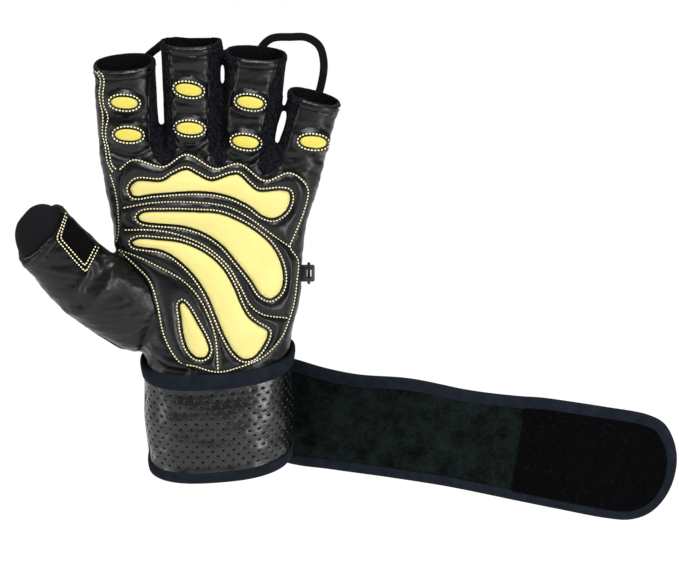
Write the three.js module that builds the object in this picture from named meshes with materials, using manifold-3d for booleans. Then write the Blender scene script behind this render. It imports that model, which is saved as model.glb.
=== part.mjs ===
// A left-hand, half-finger weightlifting glove in the form it keeps while worn.
// Millimetres, +Z up. The fingers point up, the palm faces -Y, the thumb lies toward -X and the
// wrist strap runs out toward +X. The origin is the centre of the cuff's lower opening.

import * as THREE from 'three';
import { mergeVertices } from 'three/addons/utils/BufferGeometryUtils.js';
import Module from 'manifold-3d';

const wasm = await Module();
wasm.setup();

// Sizes of the worn form, over the leather
const HAND_LENGTH = 147;
const PALM_WIDTH = 96;
const PALM_DEPTH = 30;
const WRIST_WIDTH = 68;
const WRIST_DEPTH = 47;
const FINGER_LENGTH = 54;
const FINGER_WIDTH = 28.5;
const FINGER_DEPTH = 21;
const THUMB_LENGTH = 64;
const THUMB_WIDTH = 32;
const THUMB_DEPTH = 27;
const THUMB_LEAN = -49;

// Walls, layers and clearances
const GAP = 0.3;
const LEATHER = 1.6;
const OVERLAY_PADDING = 2.3;
const INLAY_PADDING = 2.9;
const INLAY_CLEARANCE = 0.35;
const FINGER_PADDING = 2.1;
const PATCH_THICKNESS = 1.2;
const TIP_COVER_WALL = 1.5;

// Cuff
const CUFF_HEIGHT = 51.3;
const CUFF_WALL = 2;
const CUFF_TILT = 16;
const CUFF_ROLL = 4.3;
const CUFF_LAP = 11;
const BINDING_HEIGHT = 5.2;
const BINDING_WALL = 2.9;
const HOLE_ROWS = 7;
const HOLE_COLUMNS = 9;
const HOLE_WIDTH = 1.7;
const HOLE_HEIGHT = 1.1;
const HOLE_SPREAD = 2.5;
const HOLE_SIDES = 4;

// Wrist strap
const STRAP_LENGTH = 190;
const STRAP_WIDTH = 50;
const STRAP_BAND = 1.6;
const STRAP_FALL = 7.2;
const STRAP_FACING = 1.2;
const STRAP_BINDING_WIDTH = 5.4;
const STRAP_BINDING_WALL = 1;
const HOOK_PATCH_LENGTH = 74;
const HOOK_PATCH_SLANT = 9;
const STRAP_STRAIGHT_STATIONS = 14;
const STRAP_END_STATIONS = 5;
const STRAP_START = 0.02;

// Small parts
const TAPE_WIDTH = 3.9;
const TAPE_THICKNESS = 1.2;
const CLIP_WIDTH = 5.7;
const CLIP_DEPTH = 5;
const CLIP_HEIGHT = 7.8;
const CLIP_AT = 0.612;
const PIN_DIAMETER = 1.4;
const PIN_LENGTH = 10.5;
const PIN_SIDES = 8;

// Roundness of the sections and fineness of the facets
const SQUARENESS = 2.5;
const PALM_SIDES = 24;
const FINGER_SIDES = 12;
const OUTLINE_STEPS_PER_POINT = 1.25;
const FAR = 400;

// Palm and wrist sections. height: share of HAND_LENGTH. centre, palm and wrist: shares of
// PALM_WIDTH and WRIST_WIDTH whose sum is the half width. palmDeep and wristDeep: the same of the
// depths. forward: shift of the section's middle toward -Y, as a share of PALM_DEPTH.
const PALM_SECTIONS = [
  { height: -0.16, centre: 0, palm: 0, wrist: 0.46, palmDeep: 0, wristDeep: 0.46, forward: 0 },
  { height: 0, centre: 0, palm: 0, wrist: 0.468, palmDeep: 0, wristDeep: 0.468, forward: 0 },
  { height: 0.14, centre: -0.002, palm: 0, wrist: 0.496, palmDeep: 0, wristDeep: 0.485, forward: 0 },
  { height: 0.29, centre: -0.008, palm: 0, wrist: 0.49, palmDeep: 0, wristDeep: 0.457, forward: 0 },
  { height: 0.38, centre: -0.021, palm: 0.19, wrist: 0.26, palmDeep: 0.33, wristDeep: 0.2, forward: 0.03 },
  { height: 0.46, centre: -0.021, palm: 0.3, wrist: 0.14, palmDeep: 0.45, wristDeep: 0.1, forward: 0.05 },
  { height: 0.55, centre: -0.027, palm: 0.437, wrist: 0, palmDeep: 0.583, wristDeep: 0, forward: 0.05 },
  { height: 0.65, centre: -0.042, palm: 0.458, wrist: 0, palmDeep: 0.553, wristDeep: 0, forward: 0.03 },
  { height: 0.75, centre: -0.045, palm: 0.476, wrist: 0, palmDeep: 0.533, wristDeep: 0, forward: 0.01 },
  { height: 0.85, centre: -0.03, palm: 0.496, wrist: 0, palmDeep: 0.52, wristDeep: 0, forward: 0 },
  { height: 0.93, centre: -0.033, palm: 0.515, wrist: 0, palmDeep: 0.483, wristDeep: 0, forward: 0 },
  { height: 0.98, centre: -0.05, palm: 0.51, wrist: 0, palmDeep: 0.43, wristDeep: 0, forward: 0 },
  { height: 1.02, centre: -0.06, palm: 0.49, wrist: 0, palmDeep: 0.3, wristDeep: 0, forward: 0 },
];

// Fingers. rootX: share of PALM_WIDTH. rootZ: share of HAND_LENGTH. lean: degrees from +Z toward
// +X. reach: share of FINGER_LENGTH from the root to the palm side of the opening. rise: how much
// further the back goes, as a share of FINGER_DEPTH. width: share of FINGER_WIDTH.
const FINGERS = [
  { name: 'index', rootX: -0.421, rootZ: 0.959, lean: -4, reach: 0.837, rise: 0.4, width: 1.02 },
  { name: 'middle', rootX: -0.124, rootZ: 0.976, lean: -0.5, reach: 0.993, rise: 0.38, width: 0.99 },
  { name: 'ring', rootX: 0.149, rootZ: 0.976, lean: 4.5, reach: 0.887, rise: 0.33, width: 1.02 },
  { name: 'little', rootX: 0.36, rootZ: 0.898, lean: 15, reach: 0.761, rise: 0.25, width: 0.9 },
];

// Finger sections. along: share of FINGER_LENGTH from the root. width and depth: shares of the
// finger's own width and of FINGER_DEPTH.
const FINGER_SECTIONS = [
  { along: -0.45, width: 0.84, depth: 0.9 },
  { along: 0, width: 0.99, depth: 1.12 },
  { along: 0.3, width: 0.96, depth: 1.06 },
  { along: 0.62, width: 0.97, depth: 1 },
  { along: 0.95, width: 1.01, depth: 0.98 },
  { along: 1.5, width: 1.04, depth: 0.98 },
];

// Seams along the fingers, as shares of FINGER_DEPTH from the finger's middle
const FRONT_SEAM = 0.34;
const BACK_SEAM = 0.24;

// Lines that part the fingers. root and top: shares of PALM_WIDTH, at the root line and above.
const FINGER_PARTINGS = [
  { root: -1.2, top: -1.2 },
  { root: -0.272, top: -0.287 },
  { root: 0.012, top: 0.018 },
  { root: 0.262, top: 0.4 },
  { root: 1.4, top: 1.4 },
];
const PARTING_LOW = 0.9;
const PARTING_TOP = 1.45;

// The line across the finger roots, as shares of PALM_WIDTH and HAND_LENGTH
const ROOT_LINE = [[-1.2, 0.958], [-0.272, 0.958], [0.012, 0.963], [0.262, 0.935], [1.4, 0.64]];

// Thumb. The root is a share of PALM_WIDTH and of HAND_LENGTH. Sections: along is a share of
// THUMB_LENGTH, across and width of THUMB_WIDTH, depth and forward of THUMB_DEPTH.
const THUMB_ROOT = [-0.365, 0.469];
const THUMB_RISE = 0.45;
const THUMB_SECTIONS = [
  { along: -0.1, across: 0, width: 1, depth: 1, forward: 0 },
  { along: 0, across: 0, width: 1.16, depth: 1.15, forward: 0.12 },
  { along: 0.28, across: -0.06, width: 1.16, depth: 1.15, forward: 0.26 },
  { along: 0.53, across: -0.106, width: 1.11, depth: 1.08, forward: 0.38 },
  { along: 0.8, across: -0.06, width: 1.03, depth: 1, forward: 0.43 },
  { along: 1, across: 0, width: 1, depth: 0.96, forward: 0.45 },
  { along: 1.35, across: 0.03, width: 0.98, depth: 0.9, forward: 0.45 },
];
const THUMB_SEAM = 0.3;

// The padded thumb tip beyond the rim, in shares of THUMB_LENGTH, THUMB_WIDTH and THUMB_DEPTH
const TIP_COVER_START = 0.9;
const TIP_COVER_SECTIONS = [
  { along: 0.88, across: -0.036, size: 1 },
  { along: 1, across: 0, size: 1 },
  { along: 1.07, across: 0, size: 0.93 },
  { along: 1.13, across: 0, size: 0.74 },
  { along: 1.17, across: 0, size: 0.42 },
  { along: 1.18, across: 0, size: 0.12 },
];
const TIP_COVER_FORWARD = 0.45;

// Where the thumb's leather meets the palm's, front and back: shares of PALM_WIDTH, HAND_LENGTH
const THUMB_LINE_FRONT = [[-0.582, 0.97], [-0.568, 0.8], [-0.52, 0.715], [-0.45, 0.665], [-0.36, 0.62],
  [-0.3, 0.52], [-0.27, 0.42], [-0.2, 0.35], [-0.19, 0.1]];
const THUMB_LINE_BACK = [[-0.582, 0.97], [-0.568, 0.8], [-0.52, 0.715], [-0.42, 0.58], [-0.34, 0.45],
  [-0.3, 0.1]];

// Palm outlines, each a closed run of points: shares of PALM_WIDTH and HAND_LENGTH
const OVERLAY_OUTLINE = [[-0.48, 0.83], [-0.482, 0.93], [-0.421, 0.998], [-0.27, 0.976], [-0.156, 1.018],
  [-0.012, 0.971], [0.104, 0.987], [0.233, 0.932], [0.351, 0.958], [0.421, 0.934], [0.458, 0.895],
  [0.44, 0.827], [0.391, 0.746], [0.374, 0.711], [0.408, 0.669], [0.406, 0.604], [0.388, 0.527],
  [0.322, 0.41], [0.228, 0.347], [0.109, 0.315], [-0.005, 0.303], [-0.124, 0.318], [-0.235, 0.362],
  [-0.282, 0.428], [-0.314, 0.527], [-0.351, 0.598], [-0.413, 0.643], [-0.475, 0.688], [-0.482, 0.73]];
const WINDOWS = {
  inlay_knuckle: [[-0.437, 0.9], [-0.406, 0.924], [-0.277, 0.924], [-0.223, 0.945], [-0.156, 0.961],
    [-0.104, 0.945], [-0.035, 0.925], [0.064, 0.944], [0.101, 0.945], [0.153, 0.914], [0.198, 0.892],
    [0.312, 0.895], [0.351, 0.889], [0.359, 0.866], [0.336, 0.827], [0.277, 0.803], [0.223, 0.811],
    [0.148, 0.847], [0.035, 0.879], [-0.089, 0.89], [-0.317, 0.882], [-0.42, 0.876]],
  inlay_upper: [[-0.396, 0.808], [-0.376, 0.821], [-0.255, 0.826], [-0.104, 0.824], [0.01, 0.818],
    [0.124, 0.787], [0.198, 0.756], [0.267, 0.714], [0.312, 0.659], [0.325, 0.604], [0.307, 0.565],
    [0.26, 0.543], [0.213, 0.556], [0.163, 0.604], [0.084, 0.669], [0.025, 0.714], [-0.059, 0.753],
    [-0.163, 0.777], [-0.383, 0.795]],
  inlay_lower: [[-0.427, 0.727], [-0.398, 0.737], [-0.292, 0.734], [-0.178, 0.724], [-0.064, 0.691],
    [0.02, 0.643], [0.079, 0.578], [0.109, 0.53], [0.148, 0.485], [0.198, 0.459], [0.247, 0.439],
    [0.245, 0.42], [0.208, 0.376], [0.168, 0.352], [0.124, 0.349], [0.079, 0.372], [0.035, 0.42],
    [-0.012, 0.491], [-0.049, 0.549], [-0.104, 0.607], [-0.178, 0.659], [-0.27, 0.698], [-0.418, 0.716]],
  inlay_teardrop: [[-0.178, 0.533], [-0.148, 0.514], [-0.104, 0.465], [-0.059, 0.41], [-0.045, 0.376],
    [-0.064, 0.355], [-0.109, 0.355], [-0.148, 0.381], [-0.173, 0.43], [-0.183, 0.481], [-0.19, 0.523]],
};
const THUMB_PATCH_OUTLINE = [[-0.765, 0.85], [-0.79, 0.775], [-0.8, 0.734], [-0.652, 0.626], [-0.56, 0.72],
  [-0.6, 0.78]];

// Raised ellipses on the fingers. x, z: centre as shares of PALM_WIDTH and HAND_LENGTH. turn:
// degrees in the palm's plane. The half axes are shares of FINGER_WIDTH.
const FINGER_PADS = [
  { name: 'pad_index_tip', x: -0.463, z: 1.177, turn: -4 },
  { name: 'pad_index_root', x: -0.444, z: 1.073, turn: -3 },
  { name: 'pad_middle_tip', x: -0.145, z: 1.219, turn: -9 },
  { name: 'pad_middle_root', x: -0.14, z: 1.094, turn: -4 },
  { name: 'pad_ring_tip', x: 0.159, z: 1.178, turn: -8 },
  { name: 'pad_ring_root', x: 0.138, z: 1.05, turn: -8 },
  { name: 'pad_little', x: 0.472, z: 1.05, turn: -5 },
];
const PAD_HALF_LENGTH = 0.225;
const PAD_HALF_HEIGHT = 0.1;
const PAD_SIDES = 14;

// Where the strap lies on the cuff: degrees round the wrist from +X. Then the free run, as shares
// of STRAP_LENGTH to the right of the last seated point and forward of it.
const STRAP_SEAT = [88, 76, 64, 52];
const STRAP_RUN = [
  { right: 0.096, forward: 0.042 },
  { right: 0.228, forward: 0.084 },
  { right: 0.386, forward: 0.121 },
  { right: 0.544, forward: 0.155 },
  { right: 0.7, forward: 0.184 },
  { right: 0.86, forward: 0.21 },
  { right: 1, forward: 0.232 },
];
const STRAP_START_HEIGHT = 0.52;
const STRAP_ROUND_END = 0.11;
const STRAP_END_HALF = 0.55;

// Pull loops between the backs of the fingers: shares of PALM_WIDTH and HAND_LENGTH
const PULL_LOOPS = {
  pull_loop_index_middle: [[-0.42, 1.245], [-0.37, 1.3], [-0.31, 1.335], [-0.25, 1.36], [-0.18, 1.345]],
  pull_loop_ring_little: [[0.193, 1.27], [0.205, 1.33], [0.26, 1.368], [0.36, 1.374], [0.44, 1.372],
    [0.5, 1.345], [0.523, 1.29], [0.51, 1.22], [0.475, 1.15]],
};
const LOOP_STEPS = 14;

// Materials: colour, roughness, metalness
const LOOKS = {
  leather: [0x2a2c30, 0.5, 0],
  quilted_leather: [0x24262a, 0.48, 0],
  yellow_leather: [0xf7e96a, 0.55, 0],
  black_knit: [0x15151f, 0.9, 0],
  suede: [0x141414, 0.95, 0],
  perforated_leather: [0x101114, 0.28, 0],
  binding_tape: [0x1c2230, 0.8, 0],
  loop_fabric: [0x161d1b, 0.95, 0],
  hook_tape: [0x050508, 0.85, 0],
  elastic_tape: [0x101010, 0.85, 0],
  black_plastic: [0x0c0c0e, 0.4, 0],
};

const group = new THREE.Group();

// Solids and geometry

function solid(geometry) {
  geometry.deleteAttribute('normal');
  geometry.deleteAttribute('uv');
  const merged = mergeVertices(geometry, 1e-5);
  return new wasm.Manifold(new wasm.Mesh({
    numProp: 3,
    vertProperties: Float32Array.from(merged.attributes.position.array),
    triVerts: Uint32Array.from(merged.index.array),
  }));
}

function addPiece(name, look, body) {
  const mesh = body.getMesh();
  const geometry = new THREE.BufferGeometry();
  geometry.setAttribute('position', new THREE.BufferAttribute(mesh.vertProperties, 3));
  geometry.setIndex(new THREE.BufferAttribute(mesh.triVerts, 1));
  geometry.computeVertexNormals();
  const [color, roughness, metalness] = LOOKS[look];
  const piece = new THREE.Mesh(geometry, new THREE.MeshStandardMaterial({ color, roughness, metalness }));
  piece.name = name;
  group.add(piece);
}

function loft(rings) {
  const sides = rings[0].length;
  const positions = [];
  const index = [];
  for (const ring of rings) {
    for (const point of ring) positions.push(point.x, point.y, point.z);
  }
  for (let level = 0; level + 1 < rings.length; level += 1) {
    for (let side = 0; side < sides; side += 1) {
      const next = (side + 1) % sides;
      const low = level * sides;
      const high = low + sides;
      index.push(low + side, low + next, high + next);
      index.push(low + side, high + next, high + side);
    }
  }
  const top = (rings.length - 1) * sides;
  for (const [first, flip] of [[0, true], [top, false]]) {
    const centre = new THREE.Vector3();
    const ring = rings[first / sides];
    for (const point of ring) centre.addScaledVector(point, 1 / sides);
    const hub = positions.length / 3;
    positions.push(centre.x, centre.y, centre.z);
    for (let side = 0; side < sides; side += 1) {
      const here = first + side;
      const next = first + (side + 1) % sides;
      if (flip) index.push(hub, next, here);
      else index.push(hub, here, next);
    }
  }
  const geometry = new THREE.BufferGeometry();
  geometry.setAttribute('position', new THREE.Float32BufferAttribute(positions, 3));
  geometry.setIndex(index);
  return solid(geometry);
}

// One rounded section: centre, the directions of its width and depth, and its half sizes
function sectionRing(centre, across, halfWidth, halfDepth, sides) {
  const back = new THREE.Vector3(0, 1, 0);
  const ring = [];
  for (let side = 0; side < sides; side += 1) {
    const angle = (side + 0.5) / sides * 2 * Math.PI;
    const u = Math.sign(Math.cos(angle)) * Math.abs(Math.cos(angle)) ** (2 / SQUARENESS);
    const v = Math.sign(Math.sin(angle)) * Math.abs(Math.sin(angle)) ** (2 / SQUARENESS);
    const point = centre.clone().addScaledVector(across, u * halfWidth);
    ring.push(point.addScaledVector(back, v * halfDepth));
  }
  return ring;
}

// The worn form

function palmSize(row) {
  return {
    centre: new THREE.Vector3(row.centre * PALM_WIDTH, -row.forward * PALM_DEPTH, row.height * HAND_LENGTH),
    halfWidth: row.palm * PALM_WIDTH + row.wrist * WRIST_WIDTH,
    halfDepth: row.palmDeep * PALM_DEPTH + row.wristDeep * WRIST_DEPTH,
  };
}

function palmForm(offset) {
  const across = new THREE.Vector3(1, 0, 0);
  const last = PALM_SECTIONS.length - 1;
  return loft(PALM_SECTIONS.map((row, level) => {
    const { centre, halfWidth, halfDepth } = palmSize(row);
    if (level === last) centre.z += offset;
    return sectionRing(centre, across, halfWidth + offset, halfDepth + offset, PALM_SIDES);
  }));
}

function leaning(lean) {
  const angle = THREE.MathUtils.degToRad(lean);
  return {
    across: new THREE.Vector3(Math.cos(angle), 0, -Math.sin(angle)),
    along: new THREE.Vector3(Math.sin(angle), 0, Math.cos(angle)),
  };
}

function fingerRoot(finger) {
  return new THREE.Vector3(finger.rootX * PALM_WIDTH, 0, finger.rootZ * HAND_LENGTH);
}

function fingerForm(finger, offset) {
  const { across, along } = leaning(finger.lean);
  return loft(FINGER_SECTIONS.map((row) => {
    const centre = fingerRoot(finger).addScaledVector(along, row.along * FINGER_LENGTH);
    const halfWidth = row.width * finger.width * FINGER_WIDTH / 2 + offset;
    return sectionRing(centre, across, halfWidth, row.depth * FINGER_DEPTH / 2 + offset, FINGER_SIDES);
  }));
}

function thumbCentre(row) {
  const { across, along } = leaning(THUMB_LEAN);
  const root = palmPoint(THUMB_ROOT);
  return new THREE.Vector3(root.x, -row.forward * THUMB_DEPTH, root.y)
    .addScaledVector(along, row.along * THUMB_LENGTH)
    .addScaledVector(across, row.across * THUMB_WIDTH);
}

function thumbForm(offset) {
  const { across } = leaning(THUMB_LEAN);
  return loft(THUMB_SECTIONS.map((row) => sectionRing(
    thumbCentre(row),
    across,
    row.width * THUMB_WIDTH / 2 + offset,
    row.depth * THUMB_DEPTH / 2 + offset,
    FINGER_SIDES,
  )));
}

function handForm(offset) {
  let form = palmForm(offset).add(thumbForm(offset));
  for (const finger of FINGERS) form = form.add(fingerForm(finger, offset));
  return form;
}

// Cutting shapes

// A prism of an outline drawn in the palm's plane (x to the right, z up), from yLow to yHigh
function prism(points, yLow, yHigh) {
  const shape = new THREE.Shape(points);
  const geometry = new THREE.ExtrudeGeometry(shape, { depth: yHigh - yLow, bevelEnabled: false });
  geometry.rotateX(Math.PI / 2);
  geometry.translate(0, yHigh, 0);
  return solid(geometry);
}

function palmPoint([x, z]) {
  return new THREE.Vector2(x * PALM_WIDTH, z * HAND_LENGTH);
}

function outline(shares) {
  const curve = new THREE.CatmullRomCurve3(
    shares.map((share) => new THREE.Vector3(palmPoint(share).x, palmPoint(share).y, 0)),
    true,
  );
  const points = curve.getPoints(Math.round(shares.length * OUTLINE_STEPS_PER_POINT)).slice(0, -1);
  return points.map((point) => new THREE.Vector2(point.x, point.y));
}

// The outline moved outward by a clearance, along the normals of its own points
function grown(points, clearance) {
  const clockwise = THREE.ShapeUtils.isClockWise(points) ? -1 : 1;
  return points.map((point, index) => {
    const before = points[(index + points.length - 1) % points.length];
    const after = points[(index + 1) % points.length];
    const run = after.clone().sub(before).normalize();
    const outward = new THREE.Vector2(run.y, -run.x).multiplyScalar(clearance * clockwise);
    return outward.add(point);
  });
}

// Everything between two planes square to Y
function slab(yLow, yHigh) {
  const geometry = new THREE.BoxGeometry(2 * FAR, yHigh - yLow, 2 * FAR);
  geometry.translate(0, (yLow + yHigh) / 2, 0);
  return solid(geometry);
}

// Everything on the low side of a plane through a point, tilted about X and rolled about Y
function below(point, tilt, roll) {
  const geometry = new THREE.BoxGeometry(FAR, FAR, FAR);
  geometry.translate(0, 0, -FAR / 2);
  geometry.rotateX(THREE.MathUtils.degToRad(tilt));
  geometry.rotateY(THREE.MathUtils.degToRad(roll));
  geometry.translate(point.x, point.y, point.z);
  return solid(geometry);
}

function belowCuffLine(height) {
  return below(new THREE.Vector3(0, 0, height), CUFF_TILT, -CUFF_ROLL);
}

function rimAngle(rise) {
  return THREE.MathUtils.radToDeg(Math.atan(rise));
}

// The part of a finger under its slanted opening
function underRim(finger) {
  const { along } = leaning(finger.lean);
  const rim = fingerRoot(finger).addScaledVector(along, finger.reach * FINGER_LENGTH);
  rim.y = -FINGER_DEPTH / 2;
  return below(rim, rimAngle(finger.rise), finger.lean);
}

function underThumbRim() {
  const rimRow = THUMB_SECTIONS.find((row) => row.along === 1);
  return below(thumbCentre(rimRow), rimAngle(THUMB_RISE), THUMB_LEAN);
}

// One side of a finger, from its own middle line to a parting line, less an inset
function fingerColumn(index, side, inset, yLow, yHigh) {
  const finger = FINGERS[index];
  const { along } = leaning(finger.lean);
  const root = fingerRoot(finger);
  const top = PARTING_TOP * HAND_LENGTH;
  const sink = FINGER_LENGTH / 2;
  const middleLow = root.clone().addScaledVector(along, -sink);
  const middleHigh = root.clone().addScaledVector(along, (top - root.z) / along.z);
  const lap = -side * LEATHER;
  const parting = FINGER_PARTINGS[side < 0 ? index : index + 1];
  const partingRoot = parting.root * PALM_WIDTH - side * inset;
  const partingTop = parting.top * PALM_WIDTH - side * inset;
  const points = [
    new THREE.Vector2(middleLow.x + lap, middleLow.z),
    new THREE.Vector2(middleHigh.x + lap, top),
    new THREE.Vector2(partingTop, top),
    new THREE.Vector2(partingRoot, PARTING_LOW * HAND_LENGTH),
    new THREE.Vector2(partingRoot, middleLow.z),
  ];
  if (side > 0) points.reverse();
  return prism(points, yLow, yHigh);
}

function rootLine(rise) {
  return ROOT_LINE.map((share) => palmPoint(share).add(new THREE.Vector2(0, rise)));
}

// The line across the roots, moved up by a rise, closed far below or above
function rootSide(rise, far) {
  return prism([...rootLine(rise), new THREE.Vector2(FAR, far), new THREE.Vector2(-FAR, far)], -FAR, FAR);
}

const belowRoots = rootSide(0, -FAR);
const aboveRoots = rootSide(GAP, FAR);

function thumbSide(line, shift, yLow, yHigh) {
  const edge = line.map((share) => palmPoint(share).add(new THREE.Vector2(shift, 0)));
  const first = edge[0];
  const last = edge[edge.length - 1];
  const points = [...edge, new THREE.Vector2(-FAR, last.y), new THREE.Vector2(-FAR, FAR / 2)];
  points.push(new THREE.Vector2(first.x, FAR / 2));
  return prism(points, yLow, yHigh);
}

// Leather and knit of the hand

const skin = handForm(-LEATHER);
const leatherSurface = handForm(0);
const shell = leatherSurface.subtract(skin);
const aboveCuffLap = shell.subtract(belowCuffLine(CUFF_HEIGHT - CUFF_LAP));
const handPart = aboveCuffLap.intersect(belowRoots);
const fingerPart = aboveCuffLap.intersect(aboveRoots);
const underRims = FINGERS.map((finger) => underRim(finger));

const thumbSplit = -THUMB_SEAM * THUMB_DEPTH;
addPiece('palm_front', 'leather', handPart
  .subtract(thumbSide(THUMB_LINE_FRONT, GAP, -FAR, FAR))
  .intersect(slab(-FAR, 0)));
addPiece('palm_back', 'black_knit', handPart
  .subtract(thumbSide(THUMB_LINE_BACK, GAP, -FAR, FAR))
  .intersect(slab(GAP, FAR)));
addPiece('thumb_front', 'leather', handPart
  .intersect(thumbSide(THUMB_LINE_FRONT, 0, -FAR, thumbSplit))
  .intersect(underThumbRim()));
addPiece('thumb_back', 'leather', handPart
  .intersect(thumbSide(THUMB_LINE_BACK, 0, thumbSplit + GAP, FAR))
  .intersect(underThumbRim()));

function fingerPanel(index, leftRange, rightRange) {
  const left = fingerColumn(index, -1, GAP / 2, ...leftRange);
  const right = fingerColumn(index, 1, GAP / 2, ...rightRange);
  return fingerPart.intersect(left.add(right)).intersect(underRims[index]);
}

const frontSeam = -FRONT_SEAM * FINGER_DEPTH;
const backSeam = BACK_SEAM * FINGER_DEPTH;
FINGERS.forEach((finger, index) => {
  const outerLeft = index === 0;
  const outerRight = index === FINGERS.length - 1;
  const frontLeft = [-FAR, outerLeft ? 0 : frontSeam];
  const frontRight = [-FAR, outerRight ? 0 : frontSeam];
  const backLeft = [outerLeft ? GAP : backSeam, FAR];
  const backRight = [outerRight ? GAP : backSeam, FAR];
  addPiece(`${finger.name}_front`, 'leather', fingerPanel(index, frontLeft, frontRight));
  addPiece(`${finger.name}_back`, 'black_knit', fingerPanel(index, backLeft, backRight));
});

for (let index = 0; index + 1 < FINGERS.length; index += 1) {
  const range = [frontSeam + GAP, backSeam - GAP];
  const left = fingerColumn(index, 1, -GAP, ...range).intersect(underRims[index]);
  const right = fingerColumn(index + 1, -1, -GAP, ...range).intersect(underRims[index + 1]);
  const name = `fourchette_${FINGERS[index].name}_${FINGERS[index + 1].name}`;
  addPiece(name, 'black_knit', fingerPart.intersect(left.add(right)));
}

// Padding on the palm and the fingers

const paddingFloor = handForm(GAP);
const overCuff = belowCuffLine(CUFF_HEIGHT + GAP);

function paddedLayer(thickness, region) {
  return handForm(GAP + thickness).subtract(paddingFloor).intersect(region).subtract(overCuff);
}

let overlayRegion = prism(outline(OVERLAY_OUTLINE), -FAR, 0);
for (const [name, shares] of Object.entries(WINDOWS)) {
  const window = outline(shares);
  addPiece(name, 'yellow_leather', paddedLayer(INLAY_PADDING, prism(window, -FAR, 0)));
  overlayRegion = overlayRegion.subtract(prism(grown(window, INLAY_CLEARANCE), -2 * FAR, FAR));
}
addPiece('palm_overlay', 'quilted_leather', paddedLayer(OVERLAY_PADDING, overlayRegion));

for (const pad of FINGER_PADS) {
  const centre = palmPoint([pad.x, pad.z]);
  const turn = THREE.MathUtils.degToRad(pad.turn);
  const points = [];
  for (let side = 0; side < PAD_SIDES; side += 1) {
    const angle = side / PAD_SIDES * 2 * Math.PI;
    const point = new THREE.Vector2(
      Math.cos(angle) * PAD_HALF_LENGTH * FINGER_WIDTH,
      Math.sin(angle) * PAD_HALF_HEIGHT * FINGER_WIDTH,
    );
    points.push(point.rotateAround(new THREE.Vector2(), turn).add(centre));
  }
  addPiece(pad.name, 'yellow_leather', paddedLayer(FINGER_PADDING, prism(points, -FAR, 0)));
}

// Thumb patch and padded tip

const patchRegion = prism(outline(THUMB_PATCH_OUTLINE), -FAR, thumbSplit);
addPiece('thumb_patch', 'suede', paddedLayer(PATCH_THICKNESS, patchRegion).intersect(underThumbRim()));

function tipCoverForm(inset) {
  const { across, along } = leaning(THUMB_LEAN);
  const rimRow = THUMB_SECTIONS.find((row) => row.along === 1);
  const last = TIP_COVER_SECTIONS.length - 1;
  return loft(TIP_COVER_SECTIONS.map((row, level) => {
    const centre = thumbCentre({ ...row, forward: TIP_COVER_FORWARD });
    if (level === last) centre.addScaledVector(along, -inset);
    const halfWidth = row.size * (rimRow.width * THUMB_WIDTH / 2 - LEATHER - GAP);
    const halfDepth = row.size * (rimRow.depth * THUMB_DEPTH / 2 - LEATHER - GAP);
    const shrink = inset * row.size;
    return sectionRing(centre, across, halfWidth - shrink, halfDepth - shrink, FINGER_SIDES);
  }));
}

const tipCoverLow = thumbCentre({ along: TIP_COVER_START, across: 0, forward: TIP_COVER_FORWARD });
addPiece('thumb_tip_cover', 'black_knit', tipCoverForm(0)
  .subtract(tipCoverForm(TIP_COVER_WALL))
  .subtract(below(tipCoverLow, 0, THUMB_LEAN))
  .intersect(slab(-FAR, -TIP_COVER_FORWARD * THUMB_DEPTH)));

// Cuff, perforated in front, with a tape bound over each edge

function cuffLayer(low, high) {
  return palmForm(high).subtract(palmForm(low));
}

function cuffBand(layer, from, to) {
  return layer.intersect(belowCuffLine(to)).subtract(belowCuffLine(from));
}

function cuffSection() {
  const row = PALM_SECTIONS[2];
  return palmSize(row);
}

function cuffHoles() {
  const { halfWidth, halfDepth } = cuffSection();
  let holes = null;
  const low = BINDING_HEIGHT + GAP + HOLE_HEIGHT;
  const high = CUFF_HEIGHT - BINDING_HEIGHT - GAP - HOLE_HEIGHT;
  for (let row = 0; row < HOLE_ROWS; row += 1) {
    const height = low + (high - low) * (row + 0.5) / HOLE_ROWS;
    const shift = row % 2 / 2;
    for (let column = 0; column + shift < HOLE_COLUMNS; column += 1) {
      const turn = ((column + shift + 0.5) / (HOLE_COLUMNS + 0.5) - 0.5) * HOLE_SPREAD;
      const hole = new THREE.CylinderGeometry(0.5, 0.5, CUFF_WALL * 4, HOLE_SIDES);
      hole.scale(HOLE_WIDTH, 1, HOLE_HEIGHT);
      hole.rotateZ(turn);
      const x = Math.sin(turn) * (halfWidth + CUFF_WALL);
      const share = Math.abs(Math.sin(turn)) ** SQUARENESS;
      const y = -((1 - share) ** (1 / SQUARENESS)) * (halfDepth + CUFF_WALL);
      const tilt = Math.tan(THREE.MathUtils.degToRad(CUFF_TILT)) * y;
      const roll = Math.tan(THREE.MathUtils.degToRad(CUFF_ROLL)) * x;
      hole.translate(x, y, height + tilt + roll);
      holes = holes ? holes.add(solid(hole)) : solid(hole);
    }
  }
  return holes;
}

const cuffPanel = cuffBand(
  cuffLayer(GAP, GAP + CUFF_WALL),
  BINDING_HEIGHT + GAP,
  CUFF_HEIGHT - BINDING_HEIGHT - GAP,
);
addPiece('cuff_front', 'perforated_leather', cuffPanel.intersect(slab(-FAR, 0)).subtract(cuffHoles()));
addPiece('cuff_back', 'black_knit', cuffPanel.intersect(slab(GAP, FAR)));
const bindingLayer = cuffLayer(GAP, GAP + BINDING_WALL);
const topBindingLow = CUFF_HEIGHT - BINDING_HEIGHT;
addPiece('cuff_bottom_binding', 'binding_tape', cuffBand(bindingLayer, 0, BINDING_HEIGHT));
addPiece('cuff_top_binding', 'binding_tape', cuffBand(bindingLayer, topBindingLow, CUFF_HEIGHT));

// Wrist strap: a band along a curve seen from above, falling a little toward its free end

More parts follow.
